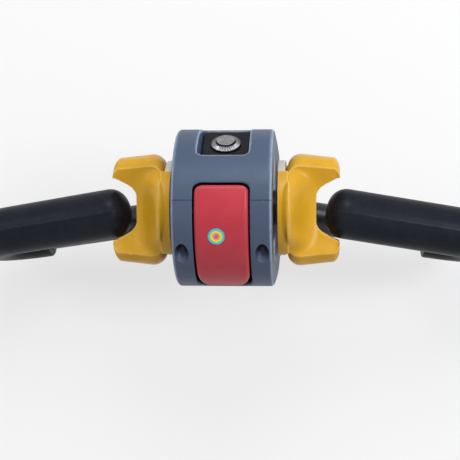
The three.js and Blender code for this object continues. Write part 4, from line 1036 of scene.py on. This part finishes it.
for place, x, z in screw_places():
    wells.append(rod(place + "_well", along_y, -FAR, -SCREW_SEAT, SCREW_WELL_RADIUS, (z, x)))
    ends = (-SCREW_SEAT - CUT_OVER, SCREW_BITE + SCREW_TIP_ROOM)
    wells.append(rod(place + "_shank_hole", along_y, *ends, shank, (z, x)))
mould(housing, COVER_VOXEL, COVER_SMOOTHING)
machine(housing, wells)
housing.data.set_sharp_from_angle(angle=SHARP)
lower_cover = shown("lower_cover_shell", housing.data.copy())
half_outline = [(-FAR, PARTING_GAP / 2), (FAR, PARTING_GAP / 2), (FAR, FAR), (-FAR, FAR)]
for cover, side in ((housing, 1), (lower_cover, -1)):
    outline = [(x, side * y) for x, y in half_outline]
    machine(cover, [pushed("half", upright, outline, -FAR, FAR)], "INTERSECT")
upper_nylon = grained_nylon("upper_nylon", (0.055, 0.083, 0.14), (0.3, 0.37, 0.5))
# The lower cover's nylon is a slightly darker copy of the upper's, as painted shade on the underside.
lower_nylon_shaded = grained_nylon("lower_nylon_shaded", (0.058, 0.08, 0.136), (0.28, 0.34, 0.46))
fit(housing, "root", "upper_grey", upper_nylon, "upper_cover")
fit(lower_cover, "root", "lower_grey", lower_nylon_shaded, "lower_cover")

# ---- cover screws ----
# Four zinc-plated screws with a cross recess hold the covers together, each at the bottom of a
# well in the lower cover.
SCREW_HEAD_RADIUS = 4
SCREW_HEAD_HEIGHT = 3.4
SCREW_HEAD_DOME = [(2.6, 0), (3.4, 0.3), (3.8, 0.9), (SCREW_HEAD_RADIUS, 1.7)]  # radius and depth
SCREW_TIP_LENGTH = 1
SCREW_TIP_TAPER = 0.8
SCREW_SIDES = 48
CROSS_HALF_LENGTH = 2.1
CROSS_HALF_WIDTH = 0.45
CROSS_DEPTH = 1.8


def slab(name, x0, x1, y0, y1, z0, z1):
    return pushed(name, upright, [(x0, y0), (x1, y0), (x1, y1), (x0, y1)], z0, z1)


for place, x, z in screw_places():
    foot = -SCREW_SEAT - SCREW_HEAD_HEIGHT
    screw = turned(place + "_machine_screw", along_y, [
        *[(radius, foot + depth) for radius, depth in SCREW_HEAD_DOME],
        (SCREW_HEAD_RADIUS, -SCREW_SEAT),
        (SCREW_SHANK_RADIUS, -SCREW_SEAT),
        (SCREW_SHANK_RADIUS, SCREW_BITE - SCREW_TIP_LENGTH),
        (SCREW_SHANK_RADIUS - SCREW_TIP_TAPER, SCREW_BITE),
    ], (z, x), SCREW_SIDES)
    long, thin, top = CROSS_HALF_LENGTH, CROSS_HALF_WIDTH, foot - CUT_OVER
    machine(screw, [
        slab("cross_a", x - long, x + long, top, foot + CROSS_DEPTH, z - thin, z + thin),
        slab("cross_b", x - thin, x + thin, top, foot + CROSS_DEPTH, z - long, z + long),
    ])
    fit(crisp(screw), "root", "screw_steel", zinc_steel, place + "_cover_screw")

# ---- control panel and push button ----
# A glossy black plate lies in the pocket of the upper cover, and a chromed push button is screwed
# through it with its seal. Its conical bezel is fluted, and its plain flat cap moves in and out.
PLATE_VOXEL = 0.4
PLATE_SMOOTHING = 2  # passes
SEAL_THICKNESS = 0.8
BEZEL_RADIUS = 11
BEZEL_HEIGHT = 2
BEZEL_FLUTES = 32
FLUTE_DEPTH = 0.5
BUTTON_SIDES = 384
BARREL_LENGTH = 26
CONTACT_OFFSET = 4
CONTACT_HALF_WIDTH = 1.5
CONTACT_HALF_THICKNESS = 0.5
CONTACT_CORNER = 0.4
CONTACT_LENGTH = 5
CAP_RADIUS = 6.8
CAP_PROUD = 1.5
CAP_DEPTH = 7
CAP_TRAVEL = 1.5
BUTTON_FOOT = PANEL_LEVEL + SEAL_THICKNESS
BUTTON_CREST = BUTTON_FOOT + BEZEL_HEIGHT


def vector_step(operation, first, second):
    """A step of vector arithmetic with a fixed second vector."""
    step = new_node(first, "VectorMath")
    step.operation = operation
    feed(first, step.inputs[0])
    step.inputs[1].default_value = second
    return step.outputs["Value" if operation == "DISTANCE" else "Vector"]


def turned_chrome(middle, axis):
    """Chromed brass with the fine rings that turning leaves, which shine in two fans."""
    material = finished(
        "turned_chrome", 2.5, (0.22, 0.215, 0.22), (0.32, 0.32, 0.32), (0.8, 0.28, 0.42), (0.6, 3, 0.006),
        metal=1,
    )
    shader, place = opened(material)
    from_middle = vector_step("SUBTRACT", place, middle)
    feed(vector_step("CROSS_PRODUCT", from_middle, axis), shader.inputs["Tangent"])
    shader.inputs["Anisotropic"].default_value = 0.8
    return material


half = POCKET_HALF_WIDTH - FIT_GAP
plate = pushed(
    "control_plate",
    on_panel,
    rounded_outline(-half, half, FIT_GAP - POCKET_FRONT, PANEL_BACK, POCKET_CORNER - FIT_GAP),
    PANEL_LEVEL - PANEL_THICKNESS,
    PANEL_LEVEL,
)
ends = (PANEL_LEVEL - 2 * PANEL_THICKNESS, PANEL_LEVEL + PANEL_THICKNESS)
machine(plate, [rod("plate_hole", on_button, *ends, BARREL_RADIUS + FIT_GAP)])
mould(plate, PLATE_VOXEL, PLATE_SMOOTHING)
panel_gloss = finished(
    "glossy_panel", 10, (0.005, 0.005, 0.009), (0.008, 0.008, 0.014), (3, 0.16, 0.28), (2.5, 3, 0.01),
    shine=0.08,
)
fit(plate, "root", "panel_black", panel_gloss, "control_panel")

tail = BUTTON_FOOT - BARREL_LENGTH
well_floor = BUTTON_CREST + CAP_PROUD - CAP_DEPTH - CAP_TRAVEL - RUN_GAP
bore = CAP_RADIUS + FIT_GAP
button_profile = [
    (BARREL_RADIUS - 0.8, tail, 0),
    (BARREL_RADIUS, tail + 0.8, 0),
    (BARREL_RADIUS, BUTTON_FOOT, 0),
    (BEZEL_RADIUS - 0.3, BUTTON_FOOT, 0),
    (BEZEL_RADIUS, BUTTON_FOOT + 0.2, 0.6),
    (BEZEL_RADIUS, BUTTON_FOOT + 0.6, 1),
    (BEZEL_RADIUS - 0.3, BUTTON_FOOT + 0.85, 1),
    (bore + 1.1, BUTTON_CREST - 0.15, 0.7),
    (bore + 0.7, BUTTON_CREST, 0),
    (bore + 0.4, BUTTON_CREST, 0),
    (bore + 0.1, BUTTON_CREST - 0.3, 0),
    (bore, BUTTON_CREST - 0.8, 0),
    (bore, well_floor, 0),
]
rings = []
for radius, w, share in button_profile:
    ring = []
    for a in full_turn(BUTTON_SIDES):
        flute = FLUTE_DEPTH * share * (0.5 + 0.5 * cos(BEZEL_FLUTES * a)) ** 2
        ring.append(on_button((radius - flute) * cos(a), (radius - flute) * sin(a), w - flute))
    rings.append(ring)
button = skin("push_button_housing", rings)
contacts = []
for side in (-1, 1):
    middle = side * CONTACT_OFFSET
    contact = rounded_outline(
        middle - CONTACT_HALF_WIDTH, middle + CONTACT_HALF_WIDTH,
        -CONTACT_HALF_THICKNESS, CONTACT_HALF_THICKNESS, CONTACT_CORNER,
    )
    contacts.append(pushed("contact", on_button, contact, tail - CONTACT_LENGTH, tail + CUT_OVER))
machine(button, contacts, "UNION")
button_middle = HEAD + Vector(on_button(0, 0, BUTTON_CREST)) * MM
button_axis = Vector(on_panel(0, 0, 1))
chrome = turned_chrome(button_middle, button_axis)
fit(crisp(button), "root", "chrome", chrome, "push_button_body")

cap_top = BUTTON_CREST + CAP_PROUD
cap = turned("push_button_top", on_button, [
    (CAP_RADIUS, cap_top - CAP_DEPTH),
    (CAP_RADIUS, cap_top - 0.45),
    (CAP_RADIUS - 0.15, cap_top - 0.15),
    (CAP_RADIUS - 0.4, cap_top),
    (CAP_RADIUS * 0.5, cap_top),
    (CAP_RADIUS * 0.05, cap_top),
])
fit(crisp(cap), "push_cap", "chrome", chrome, "push_button_cap")

seal = turned("push_button_gasket", on_button, [
    (BEZEL_RADIUS - 0.6, PANEL_LEVEL),
    (BEZEL_RADIUS - 0.4, PANEL_LEVEL + 0.2),
    (BEZEL_RADIUS - 0.4, BUTTON_FOOT),
])
ends = (PANEL_LEVEL - CUT_OVER, BUTTON_FOOT + CUT_OVER)
machine(seal, [rod("gasket_bore", on_button, *ends, BARREL_RADIUS + FIT_GAP)])
fit(crisp(seal), "root", "black_rubber", grip_rubber, "push_button_seal")

# ---- belly button ----
# The red button wraps round the drum's front and lower side, so that it is pressed in whenever the
# head runs up against something. It is a crowned moulded shell that turns on a steel pin.
BELLY_WALL = 3
BELLY_EDGE = 3
BELLY_VOXEL = 0.5
BELLY_SMOOTHING = 6  # passes
BELLY_SPAN = 40  # past both its sides
BELLY_PIN_RADIUS = 2
SEAT_LEVEL = DRUM_RADIUS - 12
SEAT_RADIUS = 7
FINGER_OFFSET = 8
FINGER_WIDTH = 2.5
FINGER_BACK = 4
FINGER_REACH = 10.5
CHEEK_TIP_ROOM = 4.84
CHEEK_WAY_END = 11
DOT_ANGLE = radians(-25)
DOT_ACROSS = -3.3
DOT_RADIUS = 6
DOT_THICKNESS = 0.12
DOT_SIDES = 64
DOT_EDGE = 0.08
DOT_FOOT = -0.4


def foil_rings(middle):
    """A plain foil dot, coloured in rings from its middle outwards."""
    material, shader, place = new_finish("foil_dot")
    bands = new_node(place, "ValToRGB")
    bands.color_ramp.interpolation = "EASE"
    hues = [
        (0.0, (0.16, 0.1, 0.45)),
        (0.22, (0.75, 0.12, 0.3)),
        (0.42, (0.85, 0.35, 0.05)),
        (0.58, (0.8, 0.75, 0.08)),
        (0.74, (0.12, 0.6, 0.2)),
        (0.88, (0.06, 0.5, 0.65)),
        (1.0, (0.1, 0.2, 0.6)),
    ]
    ramp = bands.color_ramp.elements
    for i, (at, hue) in enumerate(hues):
        stop = ramp[i] if i < 2 else ramp.new(at)
        stop.position, stop.color = at, (*hue, 1)
    apart = vector_step("DISTANCE", place, middle)
    wobble = spread(mottle(place, 1.5), -0.05, 0.05)
    share = arithmetic("MULTIPLY_ADD", apart, 1 / (DOT_RADIUS * MM), wobble)
    feed(share, bands.inputs["Fac"])
    feed(bands.outputs["Color"], shader.inputs["Base Color"])
    shader.inputs["Metallic"].default_value = 0.35
    feed(spread(mottle(place, 0.8), 0.25, 0.4), shader.inputs["Roughness"])
    return material


belly = patch(
    "belly_button_shell", BELLY_TOP, BELLY_END, BELLY_HALF_WIDTH, BELLY_TOP_CORNER, BELLY_END_CORNER,
    BELLY_END_RUN, BELLY_SKIRT_RADIUS, BELLY_OUTER, BELLY_EDGE,
)
belly_room = BELLY_HALF_WIDTH - BELLY_WALL
machine(belly, [patch(
    "belly_hollow", BELLY_TOP - BELLY_WALL / DRUM_RADIUS, BELLY_END + BELLY_WALL / DRUM_RADIUS,
    belly_room, BELLY_TOP_CORNER * 0.2, BELLY_END_CORNER - BELLY_WALL / 2,
    BELLY_END_RUN - BELLY_WALL / 2, BELLY_SKIRT_RADIUS - BELLY_WALL, BELLY_OUTER - BELLY_WALL,
)])
roof = BELLY_OUTER - BELLY_WALL / 2
inside = rod("spring_seat", upright, SEAT_LEVEL, DRUM_RADIUS, SEAT_RADIUS, (0, belly_coil_y))
machine(inside, [slab(
    "switch_finger", FINGER_OFFSET, FINGER_OFFSET + FINGER_WIDTH, belly_coil_y - SEAT_RADIUS,
    belly_coil_y + FINGER_BACK, SEAT_LEVEL - FINGER_REACH, DRUM_RADIUS,
)], "UNION")
machine(inside, [rod("skin_inside", along_x, -BELLY_SPAN, BELLY_SPAN, roof)], "INTERSECT")
machine(belly, [inside], "UNION")
pin_place = (BELLY_PIVOT_Y, BELLY_PIVOT_Z)
machine(belly, [
    rod("pin_hole", along_x, -BELLY_SPAN, BELLY_SPAN, BELLY_PIN_RADIUS + FIT_GAP, pin_place),
    rod("tip_room", along_x, -belly_room, belly_room, CHEEK_TIP_ROOM + RUN_GAP, pin_place),
    slab("tip_way", -belly_room, belly_room, BELLY_PIVOT_Y, CHEEK_WAY_END,
         BELLY_SKIRT_RADIUS - BELLY_SKIRT_ROOM, BELLY_PIVOT_Z),
])
mould(belly, BELLY_VOXEL, BELLY_SMOOTHING)
satin_red = finished(
    "satin_red", 22, (0.46, 0.036, 0.055), (0.52, 0.045, 0.066), (7, 0.3, 0.38), (0.5, 2, 0.015),
    shine=0.22,
)
edges_worn_and_highlit(satin_red, (0.505, 0.55), (4, 0.2, 0.7), (0.6, 0.15, 0.17))
fit(belly, "belly", "belly_red", satin_red, "belly_button")


def on_belly(x, s, height):
    """A point on the button's skin: across it, along it from the dot's middle, and above it."""
    a = DOT_ANGLE + s / BELLY_OUTER
    radius = BELLY_OUTER + height
    return (DOT_ACROSS + x, radius * sin(a), radius * cos(a))


dot_profile = [
    (DOT_RADIUS, DOT_FOOT), (DOT_RADIUS, DOT_THICKNESS * 0.6), (DOT_RADIUS - DOT_EDGE, DOT_THICKNESS),
    *[(DOT_RADIUS * share, DOT_THICKNESS) for share in (0.9, 0.75, 0.6, 0.45, 0.3, 0.15, 0.03)],
]
rings = []
for radius, height in dot_profile:
    rings.append([
        on_belly(radius * cos(a), radius * sin(a), height) for a in full_turn(DOT_SIDES)
    ])
dot = skin("foil_dot", rings)
dot_middle = HEAD + Vector(on_belly(0, 0, DOT_THICKNESS)) * MM
fit(dot, "belly", "belly_red", foil_rings(dot_middle))

# ---- bushes and throttle discs ----
# A brown bush in each side of the housing carries the throttle shaft. Outside it a white disc
# turns with the butterfly and closes the gap to the housing.
BUSH_FLANGE = 2.3
BUSH_FLANGE_RADIUS = 13
BUSH_BARREL_LENGTH = 8
DISC_THICKNESS = 5.8
HUB_BOSS_RADIUS = 14

bush = turned("right_bush", along_x, [
    (BUSH_BARREL_RADIUS - 0.5, RECESS_FACE - BUSH_BARREL_LENGTH),
    (BUSH_BARREL_RADIUS, RECESS_FACE - BUSH_BARREL_LENGTH + 0.5),
    (BUSH_BARREL_RADIUS, RECESS_FACE),
    (BUSH_FLANGE_RADIUS, RECESS_FACE),
    (BUSH_FLANGE_RADIUS, RECESS_FACE + BUSH_FLANGE - 0.6),
    (BUSH_FLANGE_RADIUS - 0.18, RECESS_FACE + BUSH_FLANGE - 0.2),
    (BUSH_FLANGE_RADIUS - 0.6, RECESS_FACE + BUSH_FLANGE),
])
machine(bush, [rod("shaft_bore", along_x, 0, 2 * DRUM_HALF_WIDTH, SHAFT_RADIUS + FIT_GAP)])
crisp(bush)
bush_brown = finished(
    "brown_bush", 9, (0.032, 0.014, 0.01), (0.05, 0.022, 0.015), (4, 0.4, 0.5), (0.5, 2, 0.02)
)
fit_pair(bush, "left_bush", "root", "bush_brown", bush_brown, "shaft_bush")

disc_end = DISC_FACE + DISC_THICKNESS
disc = turned("right_hub_disc", along_x, [
    (DISC_RADIUS - 0.8, DISC_FACE),
    (DISC_RADIUS - 0.25, DISC_FACE + 0.25),
    (DISC_RADIUS, DISC_FACE + 0.8),
    (DISC_RADIUS, disc_end - 0.8),
    (DISC_RADIUS - 0.25, disc_end - 0.25),
    (DISC_RADIUS - 0.8, disc_end),
])
ends = (DISC_FACE - CUT_OVER, disc_end + CUT_OVER)
machine(disc, [rod("boss_room", along_x, *ends, HUB_BOSS_RADIUS + FIT_GAP)])
crisp(disc)
disc_white = finished(
    "white_disc", 9, (0.54, 0.51, 0.46), (0.62, 0.59, 0.55), (4, 0.4, 0.52), (0.5, 2, 0.02)
)
fit_pair(disc, "left_hub_disc", "throttle", "disc_white", disc_white, "throttle_disc")

# ---- butterflies ----
# Each thumb throttle is one yellow moulding: a hub that reaches over the disc, two horns, and a
# hollow between them that clears the end of the grip. A screw holds it on the shaft.
BUTTERFLY_VOXEL = 0.5
BUTTERFLY_SMOOTHING = 5  # passes
HUB_FACE = disc_end + FIT_GAP
HUB_WEB = 2
HUB_WEB_SET = 4
CREST_RADIUS = 39.55
CREST_START = 46.9
CREST_END = 74
CREST_LIFT = 1.4
CREST_SOFT = 0.5
CREST_SHOULDER = 18
CREST_SIDE = 34
NOSE_REACH = 6.2
NOSE_BACK = 0.8
NOSE_HALF_WIDTH = 20.5
NOSE_SWELL = 5
NOSE_CURVE = 3
NOSE_SINK = 0.1  # how deep its foot lies in the saddle
NOSE_STEPS = 25
NOSE_SIDE_STEPS = 48
SADDLE_UPPER_WRAP = radians(48)
SADDLE_LOWER_WRAP = radians(59)
SADDLE_STEPS = 48
WING_TILT = radians(9)
WING_DROP = 1.3
WING_HALF_HEIGHT = 41.2
WING_TAPER = 2.6
WING_CORNER = 9.5
WING_RIDGE = 33
WING_RIDGE_LEVEL = 17
WING_ROOT_LEVEL = 20
WING_VALLEY_LEVEL = 13
WING_FACET_FALL = 0.42
WING_FACET_CURVE = 6
WING_VALLEY_CURVE = 2.5
WING_ROOT_START = 50
WING_ROOT_END = 70
WING_BACK_SHARE = 0.8
WING_SECTION_STEPS = 96
WING_CORNER_STEPS = 12
WING_STEPS = 24
WING_TIP_STEPS = 8
WING_TIP = measured(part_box("right_butterfly"))[1][0] - 1.4
WING_TIP_ROUND = 5
GRIP_CUP = 66
HOLLOW_FLOOR_RADIUS = 15.6
HOLLOW_MOUTH_RADIUS = 27.4
HOLLOW_PAST = 4
HOLLOW_FLARE = 0.6
END_SCREW_HEAD_RADIUS = 5
END_SCREW_HEAD = 4
END_SCREW_SHANK_RADIUS = 2.6
END_SCREW_BITE = 12
END_SCREW_EDGE = 0.5
END_SCREW_TIP = 0.6
HEX_RADIUS = 2.4
HEX_DEPTH = 2.2
DRIVER_ROOM_END = GRIP_CUP + 10
HEAD_SEAT = measured(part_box("right_butterfly_screw"))[1][0] - END_SCREW_HEAD


def leaning(x, y, z):
    """A point of the butterfly, tilted about the shaft as it is at rest."""
    sine, cosine = sin(WING_TILT), cos(WING_TILT)
    return (x, y * cosine - z * sine, y * sine + z * cosine)


def crest_share(x, off):
    """How much of the crest stands at a place: all of it at the hub, falling away in a hollow curve."""
    fall = CREST_LIFT * (1 - min(max((x - CREST_START) / (CREST_END - CREST_START), 0), 1)) ** 3
    share, whole = (
        (1 + part - sqrt((1 - part) ** 2 + CREST_SOFT ** 2)) / 2 for part in (fall, CREST_LIFT)
    )
    return share / whole * (1 - smooth_step(off, CREST_SHOULDER, CREST_SIDE))


def front_level(x, off, half_height):
    """How far the butterfly's front stands out: a hollow thumb face between ridges, and the crest."""
    ridge = WING_RIDGE * half_height / WING_HALF_HEIGHT
    root = 1 - smooth_step(x, WING_ROOT_START, WING_ROOT_END)
    top = WING_RIDGE_LEVEL + (WING_ROOT_LEVEL - WING_RIDGE_LEVEL) * root
    if off > ridge:
        part = (off - ridge) / (half_height - ridge)
        return top * (1 - WING_FACET_FALL * part) * sqrt(max(1 - part ** WING_FACET_CURVE, 0))
    wing = WING_VALLEY_LEVEL + (top - WING_VALLEY_LEVEL) * (off / ridge) ** WING_VALLEY_CURVE
    crest = sqrt(max(CREST_RADIUS ** 2 - off ** 2, 0))
    return wing + (crest - wing) * crest_share(x, off)


def wing_section(x, half_height):
    front = []
    for i in range(WING_SECTION_STEPS + 1):
        y = half_height * cos(pi * i / WING_SECTION_STEPS)
        front.append((y, front_level(x, abs(y), half_height)))
    back = [(y, -WING_BACK_SHARE * min(z, WING_RIDGE_LEVEL)) for y, z in reversed(front[1:-1])]
    return [leaning(x, y - WING_DROP, z) for y, z in front + back]


def wing_slab():
    rings = []
    inner = HUB_FACE + HUB_WEB / 2
    for a in quarter_turn(WING_CORNER_STEPS):
        height = WING_HALF_HEIGHT - WING_CORNER * (1 - sin(a))
        rings.append(wing_section(inner + WING_CORNER * (1 - cos(a)), height))
    straight = WING_TIP - WING_TIP_ROUND - inner - WING_CORNER
    for k in range(1, WING_STEPS + 1):
        x = inner + WING_CORNER + straight * k / WING_STEPS
        rings.append(wing_section(x, WING_HALF_HEIGHT - WING_TAPER * k / WING_STEPS))
    for a in quarter_turn(WING_TIP_STEPS)[1:]:
        height = WING_HALF_HEIGHT - WING_TAPER - 2 * WING_TIP_ROUND * (1 - cos(a))
        rings.append(wing_section(WING_TIP - WING_TIP_ROUND * (1 - sin(a)), height))
    return skin("right_thumb_throttle", rings)


def across_oval(share):
    """How far a squarish oval reaches one way, at a share of its reach the other way."""
    return (1 - share ** NOSE_CURVE) ** (1 / NOSE_CURVE)


def hub_nose():
    """The crest's rounded end, which swells softly out of the saddle."""
    end = HUB_FACE + HUB_WEB + NOSE_BACK
    saddle = DISC_RADIUS + FIT_GAP + SADDLE_THICKNESS - NOSE_SINK
    rings = []
    for k in range(NOSE_STEPS):
        x = end - NOSE_REACH * cos(pi / 2 * (k + 1) / NOSE_STEPS)
        half = NOSE_HALF_WIDTH * across_oval((end - x) / NOSE_REACH)
        ring = []
        for i in range(NOSE_SIDE_STEPS + 1):
            y = half * cos(pi * i / NOSE_SIDE_STEPS)
            front = end - NOSE_REACH * across_oval(abs(y) / NOSE_HALF_WIDTH)
            radius = saddle + (CREST_RADIUS - saddle) * smooth_step(x - front, 0, NOSE_SWELL)
            ring.append(leaning(x, y, sqrt(radius ** 2 - y ** 2)))
        rings.append(ring + [leaning(x, -half, 0), leaning(x, half, 0)])
    return skin("hub_nose", rings)


def hub_saddle():
    """The band of the hub that reaches over the disc, round the front of the drum."""
    inner = DISC_RADIUS + FIT_GAP
    outer = inner + SADDLE_THICKNESS
    start, end = pi / 2 - SADDLE_UPPER_WRAP, pi / 2 + SADDLE_LOWER_WRAP
    sweep = [start + (end - start) * k / SADDLE_STEPS for k in range(SADDLE_STEPS + 1)]
    outline = [(outer * cos(a), outer * sin(a)) for a in sweep] + [(0, 0)]
    levels = (DISC_FACE + FIT_GAP, HUB_FACE + HUB_WEB)
    return skin("hub_saddle", [[leaning(x, y, z) for y, z in outline] for x in levels])


def grip_hollow():
    """The hollow that the grip's domed end sits in: a flat floor and a widening side."""
    return turned("grip_hollow", along_x, [
        (HOLLOW_FLOOR_RADIUS, GRIP_CUP),
        (HOLLOW_FLOOR_RADIUS + 0.9, GRIP_CUP + 0.4),
        (HOLLOW_FLOOR_RADIUS + 2.6, GRIP_CUP + 1.6),
        (HOLLOW_FLOOR_RADIUS + 4.4, GRIP_CUP + 3.6),
        (HOLLOW_MOUTH_RADIUS, WING_TIP),
        (HOLLOW_MOUTH_RADIUS + HOLLOW_FLARE * HOLLOW_PAST, WING_TIP + HOLLOW_PAST),
    ])


throttle = wing_slab()
machine(throttle, [
    hub_nose(),
    hub_saddle(),
    rod("hub_web", along_x, HUB_FACE, HUB_FACE + HUB_WEB, DISC_RADIUS - HUB_WEB_SET),
], "UNION")
machine(throttle, [rod("disc_room", along_x, 0, HUB_FACE, DISC_RADIUS + FIT_GAP)])
machine(throttle, [rod("hub_boss", along_x, DISC_FACE, HUB_FACE + HUB_WEB, HUB_BOSS_RADIUS)], "UNION")
machine(throttle, [
    grip_hollow(),
    rod("shaft_room", along_x, 0, SHAFT_END + FIT_GAP, SHAFT_RADIUS + FIT_GAP),
    rod("shank_room", along_x, 0, DRIVER_ROOM_END, END_SCREW_SHANK_RADIUS + FIT_GAP),
    rod("head_room", along_x, HEAD_SEAT, DRIVER_ROOM_END, END_SCREW_HEAD_RADIUS + FIT_GAP),
])
mould(throttle, BUTTERFLY_VOXEL, BUTTERFLY_SMOOTHING)
satin_yellow = finished(
    "satin_yellow", 20, (0.62, 0.33, 0.014), (0.69, 0.37, 0.019), (9, 0.3, 0.38), (0.9, 2, 0.012),
    shine=0.24,
)
# The yellow's outer edges, its ridges among them, are lightened as a painted highlight.
edges_worn_and_highlit(satin_yellow, (0.506, 0.53), (4, 0.2, 0.55), (0.9, 0.68, 0.32))
fit_pair(throttle, "left_thumb_throttle", "throttle", "throttle_yellow", satin_yellow, "butterfly")

end_screw = turned("right_end_screw", along_x, [
    (END_SCREW_SHANK_RADIUS - END_SCREW_TIP, SHAFT_END - END_SCREW_BITE),
    (END_SCREW_SHANK_RADIUS, SHAFT_END - END_SCREW_BITE + END_SCREW_TIP),
    (END_SCREW_SHANK_RADIUS, HEAD_SEAT),
    (END_SCREW_HEAD_RADIUS, HEAD_SEAT),
    (END_SCREW_HEAD_RADIUS, HEAD_SEAT + END_SCREW_HEAD - END_SCREW_EDGE),
    (END_SCREW_HEAD_RADIUS - END_SCREW_EDGE, HEAD_SEAT + END_SCREW_HEAD),
], sides=SCREW_SIDES)
head_top = HEAD_SEAT + END_SCREW_HEAD
machine(end_screw, [
    rod("hex_socket", along_x, head_top - HEX_DEPTH, head_top + CUT_OVER, HEX_RADIUS, sides=6)
])
crisp(end_screw)
fit_pair(end_screw, "left_end_screw", "throttle", "screw_steel", zinc_steel, "butterfly_screw")
